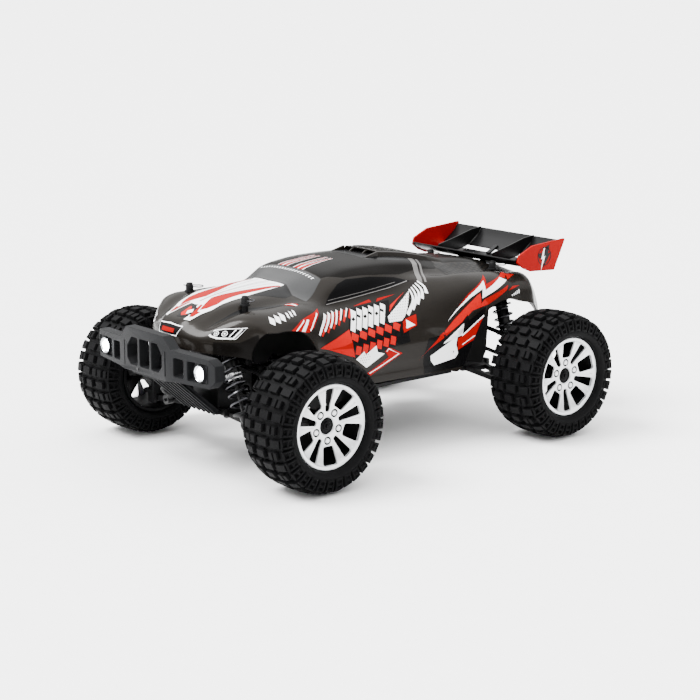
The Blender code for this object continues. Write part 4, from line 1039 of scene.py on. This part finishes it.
def paint_hood_mark():
    """Add the plain splash on the front of the hood and the shard on each fender's disc."""
    paint("hood_black", PAINT_BLACK, 0.24, "top",
          [[(-11, -185), (-8.5, -191), (-1, -193.5), (8, -192.5), (12.5, -187), (10.5, -178), (2, -174.5),
            (-8, -175), (-12.5, -179)]], mirror=False)
    shards = Sheet(0.3, "top")
    shards.patch([(49, -111), (61.5, -109), (62, -106.5), (56, -107.5), (53.5, -104), (53, -108.5)])
    shards.patch([(-7, -184), (-2, -180), (-4, -175.5), (-10, -178)], mirror=False)
    shards.patch([(7, -188), (11, -183.5), (8, -180), (4, -184)], mirror=False)
    shards.build("hood_shards", PAINT_WHITE)
    paint("hood_coral", PAINT_CORAL, 0.27, "top",
          [[(-10, -190), (-5, -192.5), (-3.5, -188.5), (-8, -186)],
           [(-3, -186), (4, -191), (9, -188.5), (4.5, -186), (6.5, -181.5), (1.5, -177.5), (-2.5, -180.5)]],
          mirror=False)


def paint_headlights():
    """Add the headlights as black areas with bright outlines and lenses."""
    outline = [(41, 127.4), (44, 130), (46, 131), (52, 132.3), (68, 134), (62, 124.4), (49, 124.2), (43, 126)]
    paint("headlight_black", PAINT_BLACK, 0.14, "front", [outline])
    bright = Sheet(0.22, "front")
    bright.stripe(outline[1:], 0.6)
    bright.stripe([(42, 127), (44, 125.8), (50, 124.6), (61, 124.8)], 1.3)
    bright.stripe([(65, 133), (60.5, 125)], 1.0)
    bright.stripe([(61, 132.6), (57.5, 126)], 0.7)
    for centre, radius in (((47.3, 128.2), 1.7), ((53.6, 128.6), 2.0)):
        rim = circle(radius, 14, centre)
        bright.stripe(rim + rim[:1], 0.45)
        bright.patch(circle(radius * 0.4, 10, centre))
    bright.build("headlight_bright", PAINT_WHITE)


def paint_fenders(white, red):
    """Add the arrow and the slanted marks of the front fenders."""
    red.patch([(-132, 129), (-116, 135.8), (-87.5, 141), (-103, 127.6), (-110, 125), (-124, 127.6)])
    white.stripe([(-126, 128.4), (-112, 135.4)], 0.9)
    white.patch([(-120, 127.6), (-108, 135.4), (-105.5, 134.8), (-115.5, 126.4)])
    white.stripe([(-108, 126.2), (-93, 138.4)], 1.2)
    for k in range(3):
        white.stripe([(-147 + 6.2 * k, 136.4 + 0.8 * k), (-144.5 + 6.2 * k, 141 + 0.7 * k)], 4.2)
        white.stripe([(-127.5 + 4.4 * k, 139.2 + 0.5 * k), (-126 + 4.4 * k, 142.6 + 0.4 * k)], 1.8)


def paint_door_blocks(white, coral, black, dots):
    """Add the rows of slanted bars and blocks, which stand in for the lettering of a real door."""
    for k in range(6):
        top_y, top_z = -83.5 + 6.0 * k, 136.2 + 0.15 * k
        low_y, low_z = top_y - 14.0 + 1.6 * k, top_z - 15.5 + 1.9 * k
        white.stripe([(top_y, top_z), (low_y, low_z)], 3.0 - 0.4 * k, 2.2 - 0.3 * k)
        coral.stripe([(top_y + 3.2, top_z - 1.5), (low_y + 3.2, low_z - 1.5)], 2.6, 1.8)
    black.patch([(-53, 136.4), (-5, 139), (-13, 118), (6, 121), (7, 101), (-16, 98.4), (-38, 95.4),
                 (-62, 94.4), (-63, 117)])
    for k in range(6):
        low = (-57.5 + 7.2 * k, 118.4 + 0.45 * k)
        high = (-48.2 + 7.0 * k, 134.6 + 0.35 * k)
        white.stripe([low, high], 4.9)
        y, z = low[0] * 0.45 + high[0] * 0.55, low[1] * 0.45 + high[1] * 0.55
        dots.stripe([(y - 1.6, z + (k % 2) * 3), (y + 1.8, z + 1.2)], 2.4)
    for k in range(6):
        coral.stripe([(-58.5 + 10.2 * k, 110.5 + 0.6 * k), (-55.5 + 10.2 * k, 116.2 + 0.6 * k)], 7.6)
        coral.stripe([(-56.5 + 8.4 * k, 97.8 + 0.7 * k), (-54 + 8.4 * k, 105 + 0.7 * k)], 6.2)


def paint_doors():
    """Add the decoration of the doors and the front fenders."""
    white, red, coral, black, dots = [Sheet(lift, "flank") for lift in (0.2, 0.16, 0.18, 0.13, 0.26)]
    paint_door_blocks(white, coral, black, dots)
    coral.patch([(-98, 109), (-61, 120.5), (-61.5, 109.5), (-70, 107.6), (-88, 106.4)])
    red.patch([(-88, 106.6), (-70, 108), (-61, 110.5), (-61, 103), (-75, 105)])
    coral.patch([(-88, 106.4), (-61, 104), (-60, 96), (-66, 98)])
    tone = [(20, 144.5), (11, 130), (5, 123), (1, 120.5), (-13, 120.5), (-12.5, 125.5)]
    white.patch(tone)
    for k in range(5):
        start = (34.5 - 3.3 * k, 151.2 - 1.4 * k)
        end = (37.2 - 6.9 * k, 141.0 - 4.0 * k)
        bend = (start[0] + (3.8 - 1.2 * k), start[1] * 0.55 + end[1] * 0.45)
        white.stripe(curve_through([start, bend, end], 4), 1.3, 3.4)
    red.patch([(-46, 137.6), (-25, 141.3), (-24, 139.2)])
    red.patch([(-19, 138.8), (4, 142.8), (-16, 141.2)])
    coral.patch([(15, 144.2), (4, 138.4), (-9, 129.5), (-6, 134.5)])
    white.patch([(-59, 94), (-49, 99.6), (-47, 96.6), (-34, 103), (-33, 97), (-25, 94.4), (-47, 84.6)])
    for dot in (dots_in(tone, 2.6, 0.5)
                + dots_in([(-57, 93.6), (-47, 98), (-40, 96), (-48, 87.5)], 2.6, 0.5)):
        dots.patch(dot)
    red.patch([(-46, 79), (-20, 90.6), (-24, 96.5), (-19, 99.4), (-3.5, 92), (-42, 76.6)])
    white.stripe([(-43, 78.6), (-7.5, 92), (-19.5, 98.2), (-22, 96)], 0.8)
    red.patch([(2, 119.5), (6.5, 122), (18.5, 124.5), (17, 114.6), (0.5, 109.6)])
    white.patch([(6, 121), (15.5, 115.2), (5, 113.2)])
    paint_fenders(white, red)
    black.build("door_black", PAINT_BLACK)
    red.build("door_red", PAINT_RED)
    coral.build("door_coral", PAINT_CORAL)
    white.build("door_white", PAINT_WHITE)
    dots.build("door_dots", PAINT_BLACK)


def paint_rear_flanks():
    """Add the zigzag decoration, the plate and the marks on the rear fenders."""
    paint("rear_red", PAINT_RED, 0.14, "flank",
          [[(67, 126), (82, 136.6), (111, 149.8), (106.5, 142.5), (137, 148), (146, 147.4), (136, 144.4),
            (129, 145.8), (103, 137.6), (105, 145.8), (82, 134.8)],
           [(143, 146.8), (157, 144.4), (138, 142.8)],
           [(16, 82.6), (44, 102), (61, 115), (79, 126.6), (91, 133.6), (96, 135.6), (95, 126), (100, 129.6),
            (135, 138.8), (130, 134.4), (103, 124), (77, 120), (69, 111), (47, 99), (28, 90.6)],
           [(132, 133.8), (141, 136.8), (153, 135.8)],
           [(64, 96.6), (71, 98.6), (97, 113.6), (97, 108), (90, 98), (84, 92.6), (64, 85.4)]])
    paint("rear_coral", PAINT_CORAL, 0.16, "flank",
          [[(46, 103), (61, 115), (79, 126.6), (91, 133.6), (96, 135.6), (95, 126), (100, 129.6),
            (104, 124.6), (84, 121), (72, 112.6), (56, 104.4)]])
    white = Sheet(0.22, "flank")
    white.patch([(53, 114), (65, 123.6), (82, 134.6), (105, 145.8), (103.2, 137.4), (129, 145.9),
                 (136, 142.6), (97, 130.6), (100, 139), (83, 132.6), (69, 124.6)])
    white.stripe([(47, 94.2), (72, 109.4), (69.4, 98.6), (97.5, 114.4)], 1.0, 1.6)
    white.stripe([(70, 90), (86, 96.6)], 0.7)
    white.patch([(30, 84.4), (48, 92), (60, 97.4), (63.5, 98), (62, 91), (64.4, 82.6), (61, 78.2),
                 (34.5, 75.2), (31, 80)])
    for k in range(5):
        y = 137 + 2.9 * k
        white.stripe([(y, 128.2 + 0.25 * k), (y + 0.5, 129.6 + 0.75 * k)], 1.5)
    white.build("rear_white", PAINT_WHITE)
    plate_bars = [band([(37 + 9 * k, 78.6 + 1.6 * k), (41 + 9 * k, 84.8 + 1.8 * k)], 4.6) for k in range(3)]
    paint("rear_black", PAINT_BLACK, 0.2, "flank",
          [[(62, 104.6), (77, 117.6), (79, 112), (101, 122.6), (98, 115.6), (72, 101), (72, 109.6)],
           *plate_bars, [(47, 89.4), (57, 93), (55, 88.6)]])
    paint("pillar_bars", PAINT_GREY, 0.18, "top",
          [[(30, 51), (63, 35), (64.5, 39.5), (30, 58)], [(30, 60.5), (65, 42), (65.5, 44), (30, 63.5)]])


# ---- roof scoop, posts and clips

SCOOP_TOP = [(18, 176.4), (35, 174.6), (50, 172.4), (70, 168.2), (84, 164.8), (99, 160.4)]
SCOOP_BASE = [(-3, 171.6), (10, 171.2), (35, 169.4), (50, 167.4), (70, 163.4), (84, 160.4), (99, 157.4)]


def build_scoop():
    """Add the ribbed roof scoop, open towards the nose, and the dark duct inside it."""
    rows = []
    ys = [18 + 3 * i for i in range(28)]
    for y in ys:
        top, base = height_at(SCOOP_TOP, y), height_at(SCOOP_BASE, y)
        lean = (y - 18) * 0.03
        half = [(0, top + 0.3), (12, top + 0.2), (21.5 + lean, top - 0.1), (23.2 + lean, top - 1.0),
                (25 + lean, base)]
        rows.append([(-x, y, z) for x, z in half[:0:-1]] + [(x, y, z) for x, z in half])
    shape = Shape()
    add_thin_sheet(shape, [[in_place(point) for point in row] for row in rows],
                   [[in_place((x * 0.96, y, z - 1.2)) for x, y, z in row] for row in rows])
    line = [(y, height_at(SCOOP_TOP, y) + 0.1) for y in ys[2:-1]]
    rib = [(y, z + 0.7) for y, z in line] + [(y, z - 0.8) for y, z in line[::-1]]
    for x in (-17, -8.5, 0, 8.5, 17):
        add_plate(shape, x - 1.1, x + 1.1, rib)
    piece("roof_scoop", shape, PAINT, bevel=0.35)
    cheeks = Shape()
    outer_cheek = [(-3, 171.2), (18, 176.2), (18, 170.6), (10, 170.6)]
    inner_post = [(8, 170.6), (12, 170.6), (20, 175.6), (16, 175.6)]
    for side in (-1, 1):
        add_plate(cheeks, side * 24.6 - 1.3, side * 24.6 + 1.3, outer_cheek)
        add_plate(cheeks, side * 9.5 - 0.8, side * 9.5 + 0.8, inner_post)
    piece("scoop_cheeks", cheeks, PAINT, bevel=0.4)
    paint("scoop_mouth", PAINT_BLACK, 0.14, "top", [[(0, -3), (26, -2), (24, 20), (0, 20)]])


POST_TOPS = {"front": 156.5, "rear": 155.5}
POST_X = {"front": 42.5, "rear": 45.0}
POST_CAP = [(0, 0), (0, 4.6), (0.8, 4.9), (1.6, 4.6), (1.6, 3.6), (6.6, 3.5), (8.4, 2.6), (9.2, 0)]
CLIP_LINE = [(-6.5, 0.0, 0.6), (0, 0, 0), (6, 0, 0), (10.5, 0.6, 0), (12.6, 2.6, 0.3), (11.4, 5.0, 0.8),
             (8.4, 5.2, 1.0), (5.0, 3.7, 0.9), (1.6, 4.4, 0.6), (-2.4, 3.4, 0.2), (-7.0, 5.4, -0.2)]


def build_posts():
    """Add the caps of the four body posts and the spring clips through them."""
    for end, side in CORNERS:
        sign = 1 if end == "rear" else -1
        mirror = 1 if side == "left" else -1
        x, y, top = mirror * POST_X[end], sign * (HALF_WHEELBASE + 5.0) + CENTRE_Y, POST_TOPS[end]
        base = top - 8.6
        cap = add_turned(Shape(), POST_CAP, 20, (x, y, base), (x, y, base + 1))
        piece(f"{end}_{side}_post_cap", cap, BLACK_NYLON, smooth=50)
        turn = Matrix.Rotation(math.radians(20 * sign * mirror), 3, "Z")
        hole = Vector((x, y, top - 3.2))
        clip = add_tube(Shape(), [hole + turn @ point for point in curve_through(CLIP_LINE, 4)], 0.55)
        piece(f"{end}_{side}_body_clip", clip, SPRING_STEEL)


# ---- bumper, lamps and skid plate

# The outline's left half seen from the front, and the line of its front face seen from above
BUMPER_HALF = [(29, 129), (39.5, 118.2), (85, 116.6), (90.8, 111), (90.8, 97.5), (86, 91.2), (45, 90.8),
               (33, 89.6)]
BUMPER_FRONT = [(0, -228), (30, -228), (40, -226.5), (50, -225), (65, -223), (85, -220), (92.5, -216)]
LAMP_X = 74.0
LAMP_FORWARD = 3.0
BUMPER_DEPTH = 10.0


def build_bumper():
    """Add the bumper: a deep frame with rounded windows, bent back towards its ends."""
    outline = BUMPER_HALF + [(-x, z) for x, z in BUMPER_HALF[::-1]]
    body = add_prism(Shape(), "y", 0, BUMPER_DEPTH, rounded(outline, 2.2, 3)).mesh()
    windows = [[(-7.6, 95.8), (7.6, 95.8), (7.6, 120.6), (-7.6, 120.6)]]
    for side in (1, -1):
        for window in ([(10.8, 95.8), (22, 95.8), (27, 101.5), (27, 112), (20, 120.6), (10.8, 120.6)],
                       [(42, 95.4), (54.5, 95), (54.5, 111.6), (42, 112.2)],
                       [(59.0, 94.6), (84.6, 95.4), (84.6, 111.4), (59.0, 111.8)]):
            windows.append([(side * x, z) for x, z in window])
    grooves = [[(x - 0.6, 94), (x + 0.6, 94), (x + 0.6, 116), (x - 0.6, 116)] for x in (-31.9, 31.9)]
    cutters = [add_prism(Shape(), "y", -5, 20, rounded(window, 1.6, 3)).mesh() for window in windows]
    cutters += [add_prism(Shape(), "y", -5, 0.9, groove).mesh() for groove in grooves]
    mesh = cut_mesh(body, cutters)
    for vertex in mesh.vertices:
        vertex.co.y += (height_at(BUMPER_FRONT, abs(vertex.co.x / MM)) + CENTRE_Y) * MM
    piece("bumper_frame", mesh, BUMPER_GREY, ["front_bumper"], bevel=1.0, segments=3)
    build_bumper_brace()


def build_bumper_brace():
    """Add the brace that carries the bumper, and its two screws."""
    brace = Shape()
    front_y, end_y = -219.0, FRONT_WHEEL.y - 19.4 - CENTRE_Y
    arm = [(front_y, 91.5), (front_y, 99), (end_y - 20, 99), (end_y, 96), (end_y, 91.5)]
    for side in (-1, 1):
        add_plate(brace, side * 10 - 2.2, side * 10 + 2.2, arm)
    add_plate(brace, -12, 12, [(front_y, 91.5), (front_y, 95), (end_y, 95), (end_y, 91.5)])
    add_prism(brace, "z", 103, 108, [(-24, -213), (24, -213), (24, -209), (-24, -209)])
    piece("bumper_brace", brace, BLACK_NYLON, bevel=0.5)
    screws = Shape()
    head = [(0, 0), (0, 1.7), (0.9, 1.9), (3, 1.9), (3, 0)]
    for x in (-12.5, 12.5):
        add_turned(screws, head, 6, (x, -227.5 + CENTRE_Y, 92.7), (x, -226 + CENTRE_Y, 92.7))
    piece("bumper_screws", screws, SHOCK_BLACK)


def build_lamps():
    """Add the two lamps: a dark housing, a bright reflector and a glowing lens."""
    for side, sign in (("left", 1), ("right", -1)):
        low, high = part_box(f"bumper_lamp_{side}")
        x, z = sign * LAMP_X, (low.z + high.z) / 2 / MM
        front = low.y / MM + 3.2 - LAMP_FORWARD
        axis = ((x, front, z), (x, front + 1, z))
        housing = Shape()
        box = rounded([(x - 9.2, z - 8.4), (x + 9.2, z - 8.4), (x + 9.2, z + 8.4), (x - 9.2, z + 8.4)], 1.6)
        add_prism(housing, "y", front + 1.6, front + 8.5, box)
        add_turned(housing, [(-1.0, 6.9), (-1.0, 8.0), (2.4, 8.2), (2.4, 6.4)], 40, *axis)
        piece(f"lamp_housing_{side}", housing, BUMPER_GREY, bevel=0.5)
        cup = add_turned(Shape(), [(-0.6, 6.8), (2.6, 3.4), (3.0, 3.4), (-0.2, 6.9)], 40, *axis)
        piece(f"lamp_reflector_{side}", cup, REFLECTOR)
        dome = [(2.4, 0), (2.4, 4.4), (0.8, 4.6), (-0.8, 3.8), (-1.8, 2.2), (-2.2, 0)]
        glow = add_turned(Shape(), dome, 32, *axis)
        piece(f"lamp_lens_{side}", glow, LED_GLOW, [f"bumper_lamp_{side}"])


def build_skid():
    """Add the ribbed skid plate between the bumper and the front gearbox."""
    low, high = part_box("skid_plate")
    rear_y, front_y = high.y / MM, low.y / MM
    centre = [(rear_y, 50), (rear_y - 5, 50), (-211 + CENTRE_Y, 87.4), (-214 + CENTRE_Y, 88), (front_y, 88)]
    rib = [(rear_y - 6, 48.9), (-211.5 + CENTRE_Y, 85.7), (front_y + 3, 86.6)]
    lip = [(rear_y - 4, 51.5), (-212 + CENTRE_Y, 89), (front_y + 1, 89.6)]
    shape = add_prism(Shape(), "x", -26, 26, band(centre, 2.4))
    for i in range(-3, 4):
        add_prism(shape, "x", i * 7.6 - 1.0, i * 7.6 + 1.0, band(rib, 2.2))
    for side in (-1, 1):
        add_prism(shape, "x", side * 25.0 - 1.0, side * 25.0 + 1.0, band(lip, 3.4))
    piece("ribbed_skid_plate", shape, BUMPER_GREY, ["skid_plate"], bevel=0.4)


# ---- shock absorbers

SPRING_START = 18.6
SPRING_RADIUS = 9.0
SPRING_WIRE = 0.95
SPRING_TURNS = 7
SEAT_FROM_FOOT = 12.0
# Turned outlines along a shock from its upper pivot, as (distance, radius)
CYLINDER = [(3.0, 0), (3.0, 5.0), (6.0, 6.6), (8.0, 7.4), (12.5, 7.4), (13.5, 6.4), (15.4, 6.4), (15.4, 9.6),
            (17.4, 9.8), (17.4, 6.2), (20, 6.2), (20.6, 5.9), (21.2, 6.2), (40.5, 6.2), (40.5, 0)]
LOWER_CAP = [(40.4, 0), (40.4, 6.6), (41.2, 7.0), (46.2, 7.0), (47.0, 6.4), (47.0, 0)]


def shock_line(corner):
    """Return a shock's top point, its direction and its length."""
    top = joint_point(f"{corner}_shock_pivot")
    along = Vector(JOINTS[f"{corner}_shock_stroke"]["axis"]).normalized()
    foot_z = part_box(f"{corner}_shock_rod")[0].z / MM + 4.6
    return top, along, (foot_z - top.z) / along.z


def add_knurls(shape, top, along, low, high, count, radius, wire, sides):
    """Add fine ribs round a shock's axis, from one distance along it to another."""
    axes = cross_axes(along)
    for i in range(count):
        offset = round_offset(axes, 2 * math.pi * i / count, radius)
        add_tube(shape, [top + along * low + offset, top + along * high + offset], wire, sides)


def add_eyelet(shape, centre, radius):
    """Add the round eye at an end of a shock."""
    add_prism(shape, "y", centre.y - 3.4, centre.y + 3.4, circle(radius, 24, (centre.x, centre.z)))


def build_shocks():
    """Add the four shock absorbers with their springs."""
    for end, side in CORNERS:
        corner = f"{end}_{side}"
        top, along, length = shock_line(corner)
        cylinder = add_turned(Shape(), CYLINDER, 32, top, top + along)
        add_knurls(cylinder, top, along, 8.4, 12.2, 16, 7.4, 0.55, 6)
        add_eyelet(cylinder, top, 4.5)
        piece(f"{corner}_shock_cylinder", cylinder, SHOCK_BLACK,
              [f"{corner}_shock_body"], f"{corner}_shock_body", bevel=0.25)
        cap = add_turned(Shape(), LOWER_CAP, 36, top, top + along)
        add_knurls(cap, top, along, 41.4, 46.0, 24, 6.95, 0.4, 5)
        piece(f"{corner}_shock_cap", cap, STEEL, body=f"{corner}_shock_body")
        build_shock_shaft(corner, top, along, length)
        build_spring(corner, top, along, length - SEAT_FROM_FOOT)


def build_shock_shaft(corner, top, along, length):
    """Add the bright shaft with its spring seat and lower eye."""
    seat = length - SEAT_FROM_FOOT
    outline = [(38, 0), (38, 1.6), (seat, 1.6), (seat, 8.6), (seat + 0.6, 9.6), (seat + 2.2, 9.6),
               (seat + 4.0, 4.4), (length - 2.8, 4.0), (length - 2.8, 0)]
    shaft = add_turned(Shape(), outline, 32, top, top + along)
    add_eyelet(shaft, top + along * length, 4.6)
    mesh = shaft.mesh()
    for polygon in mesh.polygons:
        centre = Vector(polygon.center) / MM - top
        on_line = centre.dot(along)
        off_line = (centre - along * on_line).length
        polygon.material_index = 1 if off_line < 1.7 and on_line < seat - 0.5 else 0
    piece(f"{corner}_shock_shaft", mesh, [SHOCK_BLACK, STEEL], [f"{corner}_shock_rod"],
          f"{corner}_shock_rod", bevel=0.2)


def build_spring(corner, top, along, seat):
    """Add a coil spring from the shock's upper seat down to its lower spring seat, riding on the shock body."""
    axes = cross_axes(along)
    start = SPRING_START + SPRING_WIRE
    run = seat - 0.4 - SPRING_WIRE - start
    path = []
    for i in range(SPRING_TURNS * 20 + 1):
        turns = i / 20
        share = turns / SPRING_TURNS
        eased = share + 0.02 * math.sin(2 * math.pi * share)
        offset = round_offset(axes, 2 * math.pi * turns, SPRING_RADIUS)
        path.append(top + along * (start + run * eased) + offset)
    coil = add_tube(Shape(), path, SPRING_WIRE)
    spring = piece(f"{corner}_coil_spring", coil, SPRING_STEEL,
                   [f"{corner}_shock_spring"], f"{corner}_shock_body")
    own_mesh(spring)


# ---- wing

WING_HALF_SPAN = 74.6
WING_PLANE = [(151, 159.5), (157, 155.6), (165, 152.3), (174, 150.8), (183, 151.2), (191, 153.6)]
WING_FLAP = [(196, 156.5), (203, 160.6), (209, 166), (214.5, 173.2)]
FENCE = [(153.5, 161.4), (160, 155.6), (174, 152.4), (191, 155.2), (197, 158.6), (209.5, 168), (213.5, 174.3),
         (199, 172.6), (178, 167)]
WING_FOOT = [(164.0, 147.9), (178.0, 145.2), (178.0, 150.8), (164.0, 152.4)]
END_PLATE = [(218, 175.5), (203, 145), (170, 147), (160, 151), (152, 157), (154, 164), (172, 172)]

# The end plates' marks: a bolt and a spike over the ring, and the white zigzag on them
BOLT = [(191, 170), (195.5, 171), (193.5, 162.4), (197.5, 163.4), (187, 148.5), (188.4, 157), (184, 156)]
SPIKE = [(180, 163), (186, 164.5), (184, 161.8), (187.5, 159.5), (181.5, 158.5)]
ZIGZAG = [(187.5, 168), (188.7, 168.4), (187.2, 159.8), (189.6, 160.6), (184, 147), (186.2, 158.4),
          (184, 157.6)]


def wing_section(line, thickness):
    """Return a wing section's outline that is thin at both ends."""
    line = curve_through(line, 4)
    upper = []
    lower = []
    for i, point in enumerate(line):
        share = i / (len(line) - 1)
        half = thickness / 2 * (0.35 + 0.65 * math.sin(math.pi * min(share * 1.25 + 0.08, 1.0)))
        across = direction_at(line, i).orthogonal() * half
        upper.append(tuple(point + across))
        lower.append(tuple(point - across))
    return upper + lower[::-1]


def build_wing():
    """Add the wing with its fences, centre rib, feet and red end plates."""
    wing = Shape()
    for line, thickness in ((WING_PLANE, 2.6), (WING_FLAP, 2.4)):
        add_plate(wing, -WING_HALF_SPAN, WING_HALF_SPAN, wing_section(line, thickness))
    for sign in (-1, 1):
        add_plate(wing, sign * 38.0 - 0.8, sign * 38.0 + 0.8, FENCE)
        add_plate(wing, sign * 16 - 4, sign * 16 + 4, WING_FOOT)
    add_plate(wing, -2.5, 2.5, [(187.0, 152.5), (200.0, 158.8), (198.5, 161.0), (186.0, 154.5)])
    piece("black_wing", wing, WING_BLACK, ["rear_wing"], bevel=0.35)
    for side, sign in (("left", 1), ("right", -1)):
        near = WING_HALF_SPAN + 0.3
        plate = Shape()
        add_plate(plate, sign * near, sign * (near + 2.4), rounded(END_PLATE, 1.2, 2))
        piece(f"end_plate_{side}", plate, WING_RED, [f"wing_end_plate_{side}"], bevel=0.6)
        build_end_plate_mark(side, sign, sign * (near + 2.4))


def build_end_plate_mark(side, sign, face):
    """Add the plain ring with a pointed bolt on the outside of an end plate."""
    emblem = Shape()
    back, front = face - sign * 0.1, face + sign * 0.25
    outer, inner = [circle(radius, 40, (188.5, 160.2)) for radius in (9.2, 8.3)]
    for i in range(40):
        add_plate(emblem, back, front, [outer[i - 1], outer[i], inner[i], inner[i - 1]])
    add_plate(emblem, back, front, BOLT)
    add_plate(emblem, back, front, SPIKE)
    piece(f"end_plate_emblem_{side}", emblem, WING_BLACK)
    flash = Shape()
    add_plate(flash, back, face + sign * 0.4, ZIGZAG)
    piece(f"end_plate_flash_{side}", flash, PAINT_WHITE)


# ---- stage

HORIZON_LIGHT = 0.65
ZENITH_LIGHT = 5.5
KEY_LIGHT = 9.0
KEY_ANGLE = 28.0
KEY_FROM = (-0.54, -1.1, 1.6)
FLOOR_REACH = 40.0
CAMERA_AZIMUTH = 50.285
CAMERA_ELEVATION = 12.496
CAMERA_DISTANCE = 1.7034
CAMERA_LENS = 91.49
CAMERA_TARGET = (0.0, 0.0054 + CENTRE_Y * MM, 0.0789)


def build_world():
    """Add the studio's surroundings, dim at the horizon and brighter overhead."""
    world = bpy.data.worlds.new("studio")
    bpy.context.scene.world = world
    world.use_nodes = True
    tree = world.node_tree
    place = add_node(tree, "TexCoord").outputs["Generated"]
    height = add_node(tree, "SeparateXYZ", Vector=place).outputs["Z"]
    ramp = add_node(tree, "MapRange", Value=height, From_Min=0.2, To_Min=HORIZON_LIGHT, To_Max=ZENITH_LIGHT)
    background = tree.nodes["Background"].inputs
    background["Color"].default_value = (1.0, 1.0, 1.0, 1.0)
    tree.links.new(ramp.outputs["Result"], background["Strength"])


def facing(back):
    """Return the turn of a light or a camera that looks against a direction."""
    return (-Vector(back)).to_track_quat("-Z", "Y").to_euler()


def build_stage():
    """Add the floor, the light and the camera."""
    build_world()
    mesh = bpy.data.meshes.new("floor")
    corners = [(x * FLOOR_REACH, y * FLOOR_REACH, 0) for x, y in ((-1, -1), (1, -1), (1, 1), (-1, 1))]
    mesh.from_pydata(corners, [], [(0, 1, 2, 3)])
    mesh.materials.append(finish("floor_white", (0.94, 0.94, 0.94), 0.6, vary=0.01, bump=0.0))
    linked("floor", mesh)
    key = bpy.data.lights.new("key", "SUN")
    key.energy = KEY_LIGHT
    key.angle = math.radians(KEY_ANGLE)
    linked("key", key).rotation_euler = facing(KEY_FROM)
    data = bpy.data.cameras.new("camera")
    data.sensor_width = 36.0
    data.lens = CAMERA_LENS
    azimuth, elevation = math.radians(CAMERA_AZIMUTH), math.radians(CAMERA_ELEVATION)
    back = Vector((math.sin(azimuth) * math.cos(elevation), -math.cos(azimuth) * math.cos(elevation),
                   math.sin(elevation)))
    camera = linked("camera", data)
    camera.location = Vector(CAMERA_TARGET) + back * CAMERA_DISTANCE
    camera.rotation_euler = facing(back)
    bpy.context.scene.camera = camera


dress_cad_nodes()
build_wheels()
build_shell()
build_well_walls()
paint_windows()
paint_dark_areas()
paint_hood()
paint_hood_mark()
paint_headlights()
paint_doors()
paint_rear_flanks()
build_scoop()
build_posts()
build_bumper()
build_lamps()
build_skid()
build_shocks()
build_wing()
build_stage()
